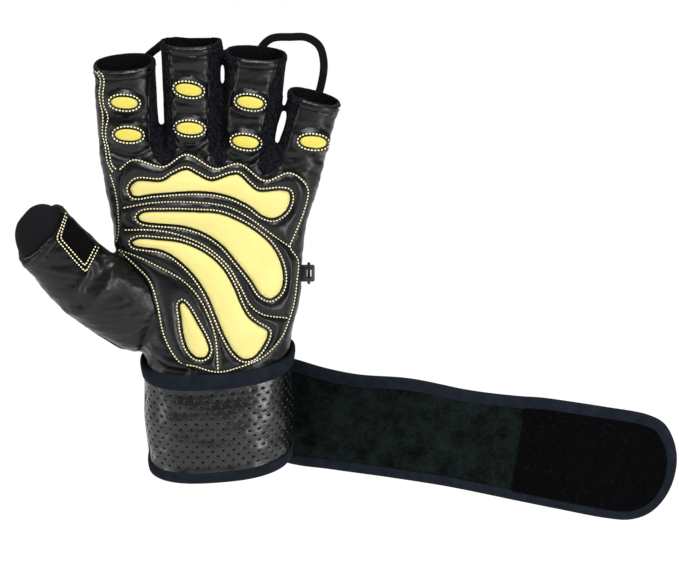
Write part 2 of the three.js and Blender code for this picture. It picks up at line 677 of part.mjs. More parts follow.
function strapPath() {
  const { centre, halfWidth, halfDepth } = cuffSection();
  const clear = BINDING_WALL + 2 * GAP + STRAP_BAND / 2 + STRAP_BINDING_WALL + GAP;
  const points = STRAP_SEAT.map((degrees) => {
    const angle = THREE.MathUtils.degToRad(degrees);
    const u = Math.cos(angle) ** (2 / SQUARENESS);
    const v = Math.sin(angle) ** (2 / SQUARENESS);
    return new THREE.Vector3(centre.x + u * (halfWidth + clear), centre.y + v * (halfDepth + clear), 0);
  });
  const last = points[points.length - 1];
  for (const row of STRAP_RUN) {
    points.push(new THREE.Vector3(last.x + row.right * STRAP_LENGTH, last.y - row.forward * STRAP_LENGTH, 0));
  }
  return new THREE.CatmullRomCurve3(points);
}

// Shares of the run at which every layer of the strap has a section, closer at the round end
function strapStations(from, to) {
  const straight = 1 - STRAP_ROUND_END;
  const shares = [from];
  const add = (share) => {
    if (share > from && share < to) shares.push(share);
  };
  for (let step = 0; step <= STRAP_STRAIGHT_STATIONS; step += 1) {
    add(straight * step / STRAP_STRAIGHT_STATIONS);
  }
  for (let step = 1; step < STRAP_END_STATIONS; step += 1) {
    add(straight + STRAP_ROUND_END * Math.sin(step / STRAP_END_STATIONS * Math.PI / 2));
  }
  return [...shares, to];
}

// Strap frames at its stations: centre, width direction, face toward -Y
function strapFrames(from, to) {
  const path = strapPath();
  const fall = Math.tan(THREE.MathUtils.degToRad(STRAP_FALL));
  const start = path.getPointAt(0);
  return strapStations(from, to).map((share) => {
    const point = path.getPointAt(share);
    const run = path.getTangentAt(share);
    run.z = -fall;
    run.normalize();
    point.z = STRAP_START_HEIGHT * CUFF_HEIGHT - fall * (point.x - start.x);
    const across = new THREE.Vector3(0, 0, 1).addScaledVector(run, -run.z).normalize();
    return { share, point, across, face: new THREE.Vector3().crossVectors(run, across) };
  });
}

// A flat band along frames, from low to high on its face side, with half widths up and down
function band(frames, halfWidth, low, high) {
  return loft(frames.map((frame) => {
    const half = halfWidth(frame.share);
    const corner = (side, level) => frame.point.clone()
      .addScaledVector(frame.across, side * half)
      .addScaledVector(frame.face, level);
    return [corner(-1, low), corner(1, low), corner(1, high), corner(-1, high)];
  }));
}

// Half the strap's width at a share of its run, less a margin, closing in a round end
function strapHalf(margin) {
  const endRun = STRAP_ROUND_END - margin / STRAP_LENGTH;
  const end = 1 - margin / STRAP_LENGTH;
  return (share) => {
    const full = STRAP_WIDTH / 2 - margin;
    const into = THREE.MathUtils.clamp((share - (end - endRun)) / endRun, 0, 1);
    return full * (STRAP_END_HALF + (1 - STRAP_END_HALF) * Math.sqrt(1 - into ** 2));
  };
}

const strapFaceLevel = STRAP_BAND / 2;
const bindingLevel = strapFaceLevel + GAP + STRAP_BINDING_WALL;

// A layer of the strap from one share of its run to its end, a margin inside the strap's edge
function strapLayer(start, margin, low, high) {
  return band(strapFrames(start, 1 - margin / STRAP_LENGTH), strapHalf(margin), low, high);
}

const coreMargin = STRAP_BINDING_WIDTH + GAP;
addPiece('strap_band', 'loop_fabric', strapLayer(STRAP_START, coreMargin, -strapFaceLevel, strapFaceLevel));
addPiece('strap_binding', 'binding_tape', strapLayer(STRAP_START, 0, -bindingLevel, bindingLevel)
  .subtract(strapLayer(0, STRAP_BINDING_WIDTH, -2 * bindingLevel, 2 * bindingLevel)));

// Everything to the right of the slanted line where the hook patch starts, moved by a shift
function pastHookLine(shift) {
  const middle = strapPath().getPointAt(1).x - HOOK_PATCH_LENGTH + shift;
  const lean = HOOK_PATCH_SLANT / STRAP_WIDTH * FAR;
  return prism([
    new THREE.Vector2(middle - lean, -FAR),
    new THREE.Vector2(2 * FAR, -FAR),
    new THREE.Vector2(2 * FAR, FAR),
    new THREE.Vector2(middle + lean, FAR),
  ], -FAR, FAR);
}

const facing = strapLayer(STRAP_START, coreMargin, strapFaceLevel + GAP, strapFaceLevel + GAP + STRAP_FACING);
addPiece('strap_loop_panel', 'loop_fabric', facing.subtract(pastHookLine(-GAP)));
addPiece('strap_hook_patch', 'hook_tape', facing.intersect(pastHookLine(0)));

// Pull loops of flat tape on the backs of the fingers

for (const [name, shares] of Object.entries(PULL_LOOPS)) {
  const back = FINGER_DEPTH / 2 + GAP + TAPE_THICKNESS / 2;
  const path = new THREE.CatmullRomCurve3(shares.map((share) => {
    const point = palmPoint(share);
    return new THREE.Vector3(point.x, back, point.y);
  }));
  const frames = [];
  for (let step = 0; step <= LOOP_STEPS; step += 1) {
    const share = step / LOOP_STEPS;
    const run = path.getTangentAt(share);
    const face = new THREE.Vector3(0, -1, 0);
    const across = new THREE.Vector3().crossVectors(face, run);
    frames.push({ share, point: path.getPointAt(share), across, face });
  }
  addPiece(name, 'elastic_tape', band(frames, () => TAPE_WIDTH / 2, -TAPE_THICKNESS / 2, TAPE_THICKNESS / 2));
}

// Plastic clip on the little finger's side of the palm, with its pin

function palmEdge(height) {
  const above = PALM_SECTIONS.findIndex((row) => row.height * HAND_LENGTH > height);
  const low = palmSize(PALM_SECTIONS[above - 1]);
  const high = palmSize(PALM_SECTIONS[above]);
  const share = (height - low.centre.z) / (high.centre.z - low.centre.z);
  const edge = (size) => size.centre.x + size.halfWidth;
  return edge(low) + (edge(high) - edge(low)) * share;
}

const clipHeight = CLIP_AT * HAND_LENGTH;
const clipSeat = Math.max(palmEdge(clipHeight - CLIP_HEIGHT / 2), palmEdge(clipHeight + CLIP_HEIGHT / 2));
const clipX = clipSeat + GAP + CLIP_WIDTH / 2;

function upright(diameter, length) {
  const geometry = new THREE.CylinderGeometry(diameter / 2, diameter / 2, length, PIN_SIDES);
  geometry.rotateX(Math.PI / 2);
  geometry.translate(clipX, 0, clipHeight);
  return solid(geometry);
}

const clipBody = new THREE.BoxGeometry(CLIP_WIDTH, CLIP_DEPTH, CLIP_HEIGHT);
clipBody.translate(clipX, 0, clipHeight);
const clipBore = upright(PIN_DIAMETER + 2 * GAP, 2 * CLIP_HEIGHT);
addPiece('side_clip', 'black_plastic', solid(clipBody).subtract(clipBore));
addPiece('side_clip_pin', 'black_plastic', upright(PIN_DIAMETER, PIN_LENGTH));

export default group;
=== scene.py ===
# %% [markdown]
# # A half-finger weightlifting glove
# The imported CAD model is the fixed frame, and this lesson dresses it: padded leather, quilting, stitches,
# knit, a perforated cuff and a hook-and-loop strap. Lengths are in millimetres in the helpers and turn
# into metres when a mesh is made.

import math

import bmesh
import bpy
import numpy as np
from mathutils import Matrix, Vector, noise
from mathutils.bvhtree import BVHTree
from mathutils.geometry import delaunay_2d_cdt
from mathutils.kdtree import KDTree


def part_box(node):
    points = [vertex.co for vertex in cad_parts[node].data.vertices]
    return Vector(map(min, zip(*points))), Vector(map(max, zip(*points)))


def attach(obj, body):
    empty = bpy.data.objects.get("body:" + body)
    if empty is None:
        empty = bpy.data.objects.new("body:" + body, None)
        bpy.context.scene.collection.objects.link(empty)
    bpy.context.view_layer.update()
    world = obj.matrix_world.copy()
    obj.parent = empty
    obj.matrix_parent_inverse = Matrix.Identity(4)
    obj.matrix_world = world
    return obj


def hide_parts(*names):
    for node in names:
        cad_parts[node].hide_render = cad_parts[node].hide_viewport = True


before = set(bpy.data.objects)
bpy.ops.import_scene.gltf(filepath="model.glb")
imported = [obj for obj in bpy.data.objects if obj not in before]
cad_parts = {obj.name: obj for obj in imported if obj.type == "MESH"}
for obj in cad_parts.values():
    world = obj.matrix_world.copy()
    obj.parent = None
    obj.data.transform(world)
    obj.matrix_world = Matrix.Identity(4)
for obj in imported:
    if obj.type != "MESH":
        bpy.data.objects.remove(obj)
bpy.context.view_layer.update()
MM = 0.001

# %% [markdown]
# ## Camera
# The picture was taken straight at the palm from a little above, with a long lens. One pixel of it is
# 0.475 mm on the plane that the lens is aimed at. Each outline below is drawn in "picture
# millimetres": a to the right of the cuff's middle and b above the cuff's lower edge, and it lands on
# the glove along the camera's own rays.

# %% Camera
PHOTO_WIDTH, PHOTO_HEIGHT = 679, 567
MM_PER_PIXEL = 0.475
WRIST_PIXEL = (218, 467)
CAMERA_DISTANCE = 1000
CAMERA_ELEVATION = math.radians(8)
TARGET = np.array([57.7, -8.0, 86.1])
SENSOR_WIDTH = 36

BACK = np.array([0, -math.cos(CAMERA_ELEVATION), math.sin(CAMERA_ELEVATION)])
UP = np.array([0, math.sin(CAMERA_ELEVATION), math.cos(CAMERA_ELEVATION)])
EYE = TARGET + BACK * CAMERA_DISTANCE
MIDDLE = np.array([
    (PHOTO_WIDTH / 2 - WRIST_PIXEL[0]) * MM_PER_PIXEL,
    (WRIST_PIXEL[1] - PHOTO_HEIGHT / 2) * MM_PER_PIXEL,
])

bpy.ops.object.select_all(action="DESELECT")
bpy.ops.object.camera_add(location=Vector(EYE * MM))
camera = bpy.context.object
camera.name = "photo_camera"
camera.rotation_euler = Vector(-BACK).to_track_quat("-Z", "Y").to_euler()
camera.data.sensor_width = SENSOR_WIDTH
camera.data.lens = SENSOR_WIDTH * CAMERA_DISTANCE / (PHOTO_WIDTH * MM_PER_PIXEL)
camera.data.clip_start, camera.data.clip_end = 0.05, 1000
bpy.context.scene.camera = camera
print("lens, mm:", round(camera.data.lens, 1))


# %% Picture millimetres to rays and back
def pixels(points):
    """Photo pixels as picture millimetres."""
    points = np.asarray(points, float)
    return np.stack([
        (points[:, 0] - WRIST_PIXEL[0]) * MM_PER_PIXEL,
        (WRIST_PIXEL[1] - points[:, 1]) * MM_PER_PIXEL,
    ], 1)


def unit(rows):
    """Vectors at length 1, one or a row each."""
    return rows / np.maximum(np.linalg.norm(rows, axis=-1, keepdims=True), 1e-12)


def aim(ab):
    """Unit directions from the eye through picture points."""
    shift = ab - MIDDLE
    return unit(TARGET + shift[:, :1] * np.array([1.0, 0, 0]) + shift[:, 1:] * UP - EYE)


def picture(points):
    """Where points of the row frame fall in the picture."""
    seen = points - EYE
    scale = CAMERA_DISTANCE / -(seen @ BACK)
    return np.stack([seen[:, 0] * scale, (seen @ UP) * scale], 1) + MIDDLE


# %% [markdown]
# ## Curves
# Outlines, seams and the strap all run through a few chosen points. A centripetal Catmull-Rom curve
# passes through each point without loops, and is then walked at even steps.

# %% Curve helpers
def through(points, closed=False, fineness=24):
    """A fine centripetal Catmull-Rom curve through points of any dimension."""
    points = np.asarray(points, float)
    if closed:
        ring = np.vstack([points[-1:], points, points[:2]])
    else:
        ring = np.vstack([2 * points[:1] - points[1:2], points, 2 * points[-1:] - points[-2:-1]])
    out = []
    for p0, p1, p2, p3 in zip(ring, ring[1:], ring[2:], ring[3:]):
        t1 = max(np.linalg.norm(p1 - p0), 1e-6) ** 0.5
        t2 = t1 + max(np.linalg.norm(p2 - p1), 1e-6) ** 0.5
        t3 = t2 + max(np.linalg.norm(p3 - p2), 1e-6) ** 0.5
        t = np.linspace(t1, t2, fineness, endpoint=False)[:, None]
        a1 = (t1 - t) / t1 * p0 + t / t1 * p1
        a2 = (t2 - t) / (t2 - t1) * p1 + (t - t1) / (t2 - t1) * p2
        a3 = (t3 - t) / (t3 - t2) * p2 + (t - t2) / (t3 - t2) * p3
        b1 = (t2 - t) / t2 * a1 + t / t2 * a2
        b2 = (t3 - t) / (t3 - t1) * a2 + (t - t1) / (t3 - t1) * a3
        out.append((t2 - t) / (t2 - t1) * b1 + (t - t1) / (t2 - t1) * b2)
    if not closed:
        out.append(points[-1:])
    return np.vstack(out)


def walked_along(points):
    """The distance walked from the first point to each."""
    return np.concatenate([[0], np.cumsum(np.linalg.norm(np.diff(points, axis=0), axis=1))])


def even(points, step, closed=False):
    """The same run at even steps of about step."""
    points = np.asarray(points, float)
    if closed:
        points = np.vstack([points, points[:1]])
    walked = walked_along(points)
    count = max(2, round(walked[-1] / step))
    at = np.linspace(0, walked[-1], count + 1)
    if closed:
        at = at[:-1]
    return np.stack([np.interp(at, walked, points[:, k]) for k in range(points.shape[1])], 1)


def outward(loop):
    """Unit normals that point out of a closed flat loop."""
    run = np.roll(loop, -1, 0) - np.roll(loop, 1, 0)
    area = np.sum(loop[:, 0] * np.roll(loop[:, 1], -1) - np.roll(loop[:, 0], -1) * loop[:, 1])
    return unit(np.stack([run[:, 1], -run[:, 0]], 1) * (1 if area > 0 else -1))


def inside(points, loop):
    """Which flat points lie inside a closed flat loop."""
    x, y = points[:, 0], points[:, 1]
    odd = np.zeros(len(points), bool)
    for (x1, y1), (x2, y2) in zip(loop, np.roll(loop, -1, 0)):
        if y1 != y2:
            crosses = (y1 > y) != (y2 > y)
            odd ^= crosses & (x < (x2 - x1) * (y - y1) / (y2 - y1) + x1)
    return odd


def distance_to(points, runs, step=0.2):
    """Distance from flat points to the nearest of several runs, each (points, closed)."""
    dense = np.vstack([even(run, step, closed) for run, closed in runs])
    tree = KDTree(len(dense))
    for index, (x, y) in enumerate(dense):
        tree.insert((x, y, 0), index)
    tree.balance()
    return np.array([tree.find((x, y, 0))[2] for x, y in points])


def ease(value, low, high):
    """A soft step from 0 at low to 1 at high."""
    t = np.clip((value - low) / (high - low), 0, 1)
    return t * t * (3 - 2 * t)


def bell(value, width):
    """1 where value is 0, falling off within a few widths."""
    return np.exp(-((value / width) ** 2))


# %% [markdown]
# ## The worn form
# A worn glove keeps a full, rounded form. The CAD model builds it from rounded sections, and the same
# tables are repeated here. Each limb starts as a circle that is shaped once, then extruded and resized
# from section to section. A voxel remesh melts the limbs into one form, as stretched leather does.

# %% Sizes and section tables of the CAD source
GLOVE_LENGTH, PALM_WIDTH, PALM_DEPTH = 147, 96, 30
WRIST_WIDTH, WRIST_DEPTH = 68, 47
FINGER_LENGTH, FINGER_WIDTH, FINGER_DEPTH = 54, 28.5, 21
THUMB_LENGTH, THUMB_WIDTH, THUMB_DEPTH, THUMB_LEAN = 64, 32, 27, -49
LEATHER, GAP = 1.6, 0.3
SQUARENESS = 2.5

# height, centre, palm, wrist, palm depth, wrist depth, forward
PALM_SECTIONS = np.array([
    (-0.16, 0, 0, 0.46, 0, 0.46, 0), (0, 0, 0, 0.468, 0, 0.468, 0),
    (0.14, -0.002, 0, 0.496, 0, 0.485, 0), (0.29, -0.008, 0, 0.49, 0, 0.457, 0),
    (0.38, -0.021, 0.19, 0.26, 0.33, 0.2, 0.03), (0.46, -0.021, 0.3, 0.14, 0.45, 0.1, 0.05),
    (0.55, -0.027, 0.437, 0, 0.583, 0, 0.05), (0.65, -0.042, 0.458, 0, 0.553, 0, 0.03),
    (0.75, -0.045, 0.476, 0, 0.533, 0, 0.01), (0.85, -0.03, 0.496, 0, 0.52, 0, 0),
    (0.93, -0.033, 0.515, 0, 0.483, 0, 0), (0.98, -0.05, 0.51, 0, 0.43, 0, 0),
    (1.02, -0.06, 0.49, 0, 0.3, 0, 0),
])
# name, root x, root z, lean, reach, rise, width
FINGERS = [
    ("index", -0.421, 0.959, -4, 0.837, 0.4, 1.02),
    ("middle", -0.124, 0.976, -0.5, 0.993, 0.38, 0.99),
    ("ring", 0.149, 0.976, 4.5, 0.887, 0.33, 1.02),
    ("little", 0.36, 0.898, 15, 0.761, 0.25, 0.9),
]
# along, width, depth
FINGER_SECTIONS = np.array([
    (-0.45, 0.84, 0.9), (0, 0.99, 1.12), (0.3, 0.96, 1.06), (0.62, 0.97, 1), (0.95, 1.01, 0.98),
    (1.5, 1.04, 0.98),
])
THUMB_ROOT, THUMB_RISE, THUMB_FORWARD = (-0.365, 0.469), 0.45, 0.45
# along, across, width, depth, forward
THUMB_SECTIONS = np.array([
    (-0.1, 0, 1, 1, 0), (0, 0, 1.16, 1.15, 0.12), (0.28, -0.06, 1.16, 1.15, 0.26),
    (0.53, -0.106, 1.11, 1.08, 0.38), (0.8, -0.06, 1.03, 1, 0.43), (1, 0, 1, 0.96, 0.45),
    (1.35, 0.03, 0.98, 0.9, 0.45),
])


def root_of(share_x, share_z):
    """Where a limb starts, from shares of the palm's width and the glove's length."""
    return np.array([share_x * PALM_WIDTH, 0, share_z * GLOVE_LENGTH])


def limb_directions(angle):
    """Unit vectors along and across a limb that leans by an angle."""
    lengthwise = np.array([math.sin(angle), 0, math.cos(angle)])
    sideways = np.array([math.cos(angle), 0, -math.sin(angle)])
    return lengthwise, sideways


def palm_rows():
    """Palm sections in millimetres: height, centre x, centre y, half width, half depth."""
    height, centre, palm, wrist, palm_deep, wrist_deep, forward = PALM_SECTIONS.T
    return np.stack([
        height * GLOVE_LENGTH, centre * PALM_WIDTH, -forward * PALM_DEPTH,
        palm * PALM_WIDTH + wrist * WRIST_WIDTH, palm_deep * PALM_DEPTH + wrist_deep * WRIST_DEPTH,
    ], 1)


def thumb_rows():
    """Thumb sections in the same order as the palm's."""
    along, across, width, depth, forward = THUMB_SECTIONS.T
    return np.stack([
        along * THUMB_LENGTH, across * THUMB_WIDTH, -forward * THUMB_DEPTH,
        width * THUMB_WIDTH / 2, depth * THUMB_DEPTH / 2,
    ], 1)


def finger_rows(share):
    """Sections of a finger sleeve whose width is a share of the common one."""
    along, width, depth = FINGER_SECTIONS.T
    none = np.zeros(len(along))
    return np.stack([
        along * FINGER_LENGTH, none, none, width * share * FINGER_WIDTH / 2, depth * FINGER_DEPTH / 2,
    ], 1)


# %% Extrude a limb from its sections
def select_only(obj):
    bpy.ops.object.select_all(action="DESELECT")
    obj.select_set(True)
    bpy.context.view_layer.objects.active = obj


def apply_modifier(obj, kind, **settings):
    """Adds a modifier with its settings and applies it."""
    select_only(obj)
    modifier = obj.modifiers.new(kind.lower(), kind)
    for key, value in settings.items():
        setattr(modifier, key, value)
    bpy.ops.object.modifier_apply(modifier=modifier.name)


def edit_whole(piece):
    """Opens a piece in edit mode with all of it selected."""
    select_only(piece)
    bpy.ops.object.mode_set(mode="EDIT")
    bpy.ops.mesh.select_all(action="SELECT")


def face_outward(piece):
    """Turns all faces of a closed piece outward."""
    edit_whole(piece)
    bpy.ops.mesh.normals_make_consistent(inside=False)
    bpy.ops.object.mode_set(mode="OBJECT")


def soften(piece):
    """Shades a piece smooth."""
    select_only(piece)
    bpy.ops.object.shade_smooth()


def squared(value, power):
    """A sine or cosine raised to a power with its sign kept, which squares off a circle."""
    return np.sign(value) * np.abs(value) ** power


def extruded_limb(name, rows, sides, lean=0, root=(0, 0, 0)):
    """Extrudes a rounded section along rows of (height, x, y, half width, half depth)."""
    bpy.ops.object.select_all(action="DESELECT")
    bpy.ops.mesh.primitive_circle_add(vertices=sides, radius=1, fill_type="NGON")
    limb = bpy.context.object
    limb.name = name
    for vertex in limb.data.vertices:
        vertex.co = squared(np.array(vertex.co), 2 / SQUARENESS)
    edit_whole(limb)
    height, x, y, wide, deep = rows[0]
    bpy.ops.transform.resize(value=(wide, deep, 1))
    bpy.ops.transform.translate(value=(x, y, height))
    for before, after in zip(rows, rows[1:]):
        step = (after[1] - before[1], after[2] - before[2], after[0] - before[0])
        bpy.ops.mesh.extrude_region_move(TRANSFORM_OT_translate={"value": step})
        bpy.ops.transform.resize(
            value=(after[3] / before[3], after[4] / before[4], 1),
            center_override=(after[1], after[2], after[0]),
        )
    bpy.ops.object.mode_set(mode="OBJECT")
    face_outward(limb)
    place = Matrix.Translation(Vector(root)) @ Matrix.Rotation(math.radians(lean), 4, "Y")
    limb.data.transform(Matrix.Scale(MM, 4) @ place)
    return limb


# %% Cutting tools
# depths, along y, that lie in front of the whole glove and behind it
IN_FRONT, BEHIND = -70, 90


def new_piece(name, points, faces):
    """A mesh object from points in millimetres."""
    mesh = bpy.data.meshes.new(name)
    mesh.from_pydata([Vector(p) * MM for p in points], [], [tuple(int(i) for i in f) for f in faces])
    mesh.update()
    piece = bpy.data.objects.new(name, mesh)
    bpy.context.collection.objects.link(piece)
    return piece


def ray_prism(name, loop, y_near, y_far):
    """A prism of a loop in the picture, along the camera's rays, between two depths."""
    rays = aim(loop)
    rings = [EYE + rays * ((y - EYE[1]) / rays[:, 1])[:, None] for y in (y_near, y_far)]
    count = len(loop)
    walls = [(i, (i + 1) % count, count + (i + 1) % count, count + i) for i in range(count)]
    prism = new_piece(name, np.vstack(rings), [range(count)[::-1], range(count, 2 * count)] + walls)
    face_outward(prism)
    return prism


def box(name, size, place):
    """A box of that size whose bottom face's middle is the origin of a placing matrix in millimetres."""
    bpy.ops.object.select_all(action="DESELECT")
    bpy.ops.mesh.primitive_cube_add(size=1)
    made = bpy.context.object
    made.name = name
    lift_up = Matrix.Translation((0, 0, 0.5))
    scaled = Matrix.Diagonal((*size, 1)) @ lift_up
    made.data.transform(Matrix.Scale(MM, 4) @ place @ scaled)
    return made


def cut(piece, tool, way="DIFFERENCE"):
    """Cuts a piece with a tool by a boolean modifier, and removes the tool."""
    apply_modifier(piece, "BOOLEAN", operation=way, object=tool, solver="MANIFOLD")
    bpy.data.objects.remove(tool)


def copy_of(obj, name):
    made = obj.copy()
    made.data = obj.data.copy()
    made.name = name
    bpy.context.collection.objects.link(made)
    return made


# %% Join the limbs
PALM_SIDES, FINGER_SIDES, THUMB_SIDES = 64, 40, 44
# where a slit of light shows between the ring and the little sleeve, in photo pixels
FINGER_SLIT = [
    (283.5, 96), (283.2, 104), (282, 112), (279.5, 120), (277.7, 126), (276, 134), (274.8, 141),
    (275, 149), (277, 147), (279, 141), (281.5, 134), (284.3, 126), (286, 119), (286.4, 112),
    (285.8, 105), (287.5, 96),
]
# places and half sizes of leather that fills a corner: between the index and middle sleeves, and
# under the thumb sleeve
WEBS = [((-26.2, 1, 152), (4.6, 6.5, 8.6)), ((-35, -2, 58.5), (6.2, 9, 7.5))]


def worn_form(offset, voxel, melt, top=1.2):
    """All limbs with their sections grown by offset, melted into one closed form."""
    grown = np.array([0, 0, 0, offset, offset])
    limbs = [extruded_limb("palm_limb", through(palm_rows() + grown, fineness=4), PALM_SIDES)]
    for name, root_x, root_z, lean, _, _, width in FINGERS:
        rows = through(finger_rows(width) + grown, fineness=4)
        rows = rows[rows[:, 0] < top * FINGER_LENGTH]
        limbs.append(extruded_limb(name + "_limb", rows, FINGER_SIDES, lean, root_of(root_x, root_z)))
    rows = through(thumb_rows() + grown, fineness=4)
    limbs.append(extruded_limb("thumb_limb", rows, THUMB_SIDES, THUMB_LEAN, root_of(*THUMB_ROOT)))
    for place, half in WEBS:
        bpy.ops.object.select_all(action="DESELECT")
        bpy.ops.mesh.primitive_uv_sphere_add(segments=32, ring_count=20, radius=1)
        size = Vector(half) + Vector((offset, offset, offset))
        bpy.context.object.data.transform(Matrix.LocRotScale(Vector(place) * MM, None, size * MM))
        limbs.append(bpy.context.object)
    select_only(limbs[0])
    for limb in limbs:
        limb.select_set(True)
    bpy.ops.object.join()
    form = limbs[0]
    apply_modifier(form, "REMESH", mode="VOXEL", voxel_size=voxel * MM)
    slit = pixels(FINGER_SLIT)
    cut(form, ray_prism("slit_tool", slit - outward(slit) * offset, IN_FRONT, BEHIND))
    apply_modifier(form, "REMESH", mode="VOXEL", voxel_size=voxel * MM)
    apply_modifier(form, "SMOOTH", factor=0.5, iterations=melt)
    return form


# %% Melt the outer and the inner form
FINE_VOXEL, COARSE_VOXEL = 0.8, 1.7
outer_form = worn_form(0, FINE_VOXEL, 9)
outer_form.name = "outer_form"
inner_form = worn_form(-LEATHER, COARSE_VOXEL, 2, top=1.3)
inner_form.name = "inner_form"
print("outer form faces:", len(outer_form.data.polygons), "inner:", len(inner_form.data.polygons))


# %% Read and write a mesh's points in millimetres
def points_of(obj):
    flat = np.empty(len(obj.data.vertices) * 3, np.float32)
    obj.data.vertices.foreach_get("co", flat)
    return flat.reshape(-1, 3).astype(float) / MM


def normals_of(obj):
    flat = np.empty(len(obj.data.vertices) * 3, np.float32)
    obj.data.vertex_normals.foreach_get("vector", flat)
    return flat.reshape(-1, 3).astype(float)


def move_points(obj, points):
    obj.data.vertices.foreach_set("co", (points * MM).astype(np.float32).ravel())
    obj.data.update()


def surface_of(obj):
    """A search tree of the object's faces, in millimetres."""
    points = [Vector(p) for p in points_of(obj)]
    return BVHTree.FromPolygons(points, [tuple(f.vertices) for f in obj.data.polygons])


plain_surface = surface_of(outer_form)

# %% [markdown]
# ## Outlines
# The palm's quilted layer, its four yellow windows and the finger pads keep the CAD model's outlines,
# as shares of the palm's width and the glove's length. Stitch lines and the leather's edges along the
# knit strips are read from the picture, in its pixels.

# %% Outlines on the palm
OVERLAY_OUTLINE = [
    (-0.48, 0.83), (-0.482, 0.93), (-0.421, 0.998), (-0.27, 0.976), (-0.156, 1.018), (-0.012, 0.971),
    (0.104, 0.987), (0.233, 0.932), (0.351, 0.958), (0.421, 0.934), (0.458, 0.895), (0.44, 0.827),
    (0.391, 0.746), (0.374, 0.711), (0.408, 0.669), (0.406, 0.604), (0.388, 0.527), (0.322, 0.41),
    (0.228, 0.347), (0.109, 0.315), (-0.005, 0.303), (-0.124, 0.318), (-0.235, 0.362), (-0.282, 0.428),
    (-0.314, 0.527), (-0.351, 0.598), (-0.413, 0.643), (-0.475, 0.688), (-0.482, 0.73),
]
WINDOWS = {
    "inlay_knuckle": [
        (-0.437, 0.9), (-0.406, 0.924), (-0.277, 0.924), (-0.223, 0.945), (-0.156, 0.961),
        (-0.104, 0.945), (-0.035, 0.925), (0.064, 0.944), (0.101, 0.945), (0.153, 0.914),
        (0.198, 0.892), (0.312, 0.895), (0.351, 0.889), (0.359, 0.866), (0.336, 0.827), (0.277, 0.803),
        (0.223, 0.811), (0.148, 0.847), (0.035, 0.879), (-0.089, 0.89), (-0.317, 0.882), (-0.42, 0.876),
    ],
    "inlay_upper": [
        (-0.396, 0.808), (-0.376, 0.821), (-0.255, 0.826), (-0.104, 0.824), (0.01, 0.818),
        (0.124, 0.787), (0.198, 0.756), (0.267, 0.714), (0.312, 0.659), (0.325, 0.604), (0.307, 0.565),
        (0.26, 0.543), (0.213, 0.556), (0.163, 0.604), (0.084, 0.669), (0.025, 0.714), (-0.059, 0.753),
        (-0.163, 0.777), (-0.383, 0.795),
    ],
    "inlay_lower": [
        (-0.427, 0.727), (-0.398, 0.737), (-0.292, 0.734), (-0.178, 0.724), (-0.064, 0.691),
        (0.02, 0.643), (0.079, 0.578), (0.109, 0.53), (0.148, 0.485), (0.198, 0.459), (0.247, 0.439),
        (0.245, 0.42), (0.208, 0.376), (0.168, 0.352), (0.124, 0.349), (0.079, 0.372), (0.035, 0.42),
        (-0.012, 0.491), (-0.049, 0.549), (-0.104, 0.607), (-0.178, 0.659), (-0.27, 0.698),
        (-0.418, 0.716),
    ],
    "inlay_teardrop": [
        (-0.178, 0.533), (-0.148, 0.514), (-0.104, 0.465), (-0.059, 0.41), (-0.045, 0.376),
        (-0.064, 0.355), (-0.109, 0.355), (-0.148, 0.381), (-0.173, 0.43), (-0.183, 0.481),
        (-0.19, 0.523),
    ],
}
# name, x, z, turn
FINGER_PADS = [
    ("pad_index_tip", -0.463, 1.177, -4), ("pad_index_root", -0.444, 1.073, -3),
    ("pad_middle_tip", -0.145, 1.219, -9), ("pad_middle_root", -0.14, 1.094, -4),
    ("pad_ring_tip", 0.159, 1.178, -8), ("pad_ring_root", 0.138, 1.05, -8),
    ("pad_little", 0.472, 1.05, -5),
]


def shares(points):
    """Shares of the palm's width and the glove's length as picture millimetres."""
    return np.asarray(points, float) * np.array([PALM_WIDTH, GLOVE_LENGTH])


# distance of a window's stitches from its edge
WINDOW_SEAM = 1.3
overlay_edge = through(shares(OVERLAY_OUTLINE), closed=True)
window_edges = {name: through(shares(run), closed=True) for name, run in WINDOWS.items()}
window_seams = {}
for window_name, window_edge in window_edges.items():
    spaced = even(window_edge, 0.8, closed=True)
    window_seams[window_name] = spaced + outward(spaced) * WINDOW_SEAM

# %% Stitch lines read from the picture
OUTER_SEAM = [
    (119, 170), (133, 160), (163.5, 167), (186.4, 154.6), (215.5, 169), (239, 164), (265, 181),
    (289, 173), (301, 179), (308, 190), (304, 211), (294, 236), (290, 247), (298, 260), (297, 280),
    (294, 303), (289, 320), (281, 338), (263, 357), (240, 367), (217, 372), (194, 366), (182, 363.5),
    (173, 354), (163.5, 334), (157, 303), (149, 280), (136, 266), (118, 249.5),
]
EDGE_SEAM = [(110, 174), (115, 190), (118, 211), (118, 236), (113.5, 248)]
QUILT_SEAMS = [
    [(123, 208), (151, 203), (189.5, 202), (228, 207), (251, 219), (274, 236), (290, 247)],
    [(124, 230), (151, 230), (176, 234), (205, 246), (228, 266), (240, 286), (251, 306), (263, 314.5),
     (288, 318)],
    [(118, 249.5), (136, 256), (159, 267), (182, 280), (197, 295), (208, 315), (215.5, 338),
     (218, 370)],
]
INDEX_SEAMS = [
    [(96.3, 71.9), (99.4, 76.3), (100.6, 81.3), (99.4, 90), (99.4, 97.5), (100.6, 105), (102.5, 112.5),
     (103, 120), (102.5, 127.5), (102.5, 135), (105, 145), (106.3, 155), (107.5, 162.5), (113, 172.5)],
    [(97.5, 71), (102, 74), (104, 80), (103.8, 86), (102.8, 93), (103, 100), (104.3, 107), (107, 113),
     (108, 119), (106.5, 125), (105.7, 131), (105.8, 138), (108, 147), (110, 157), (112, 165),
     (116.5, 169.5)],
]
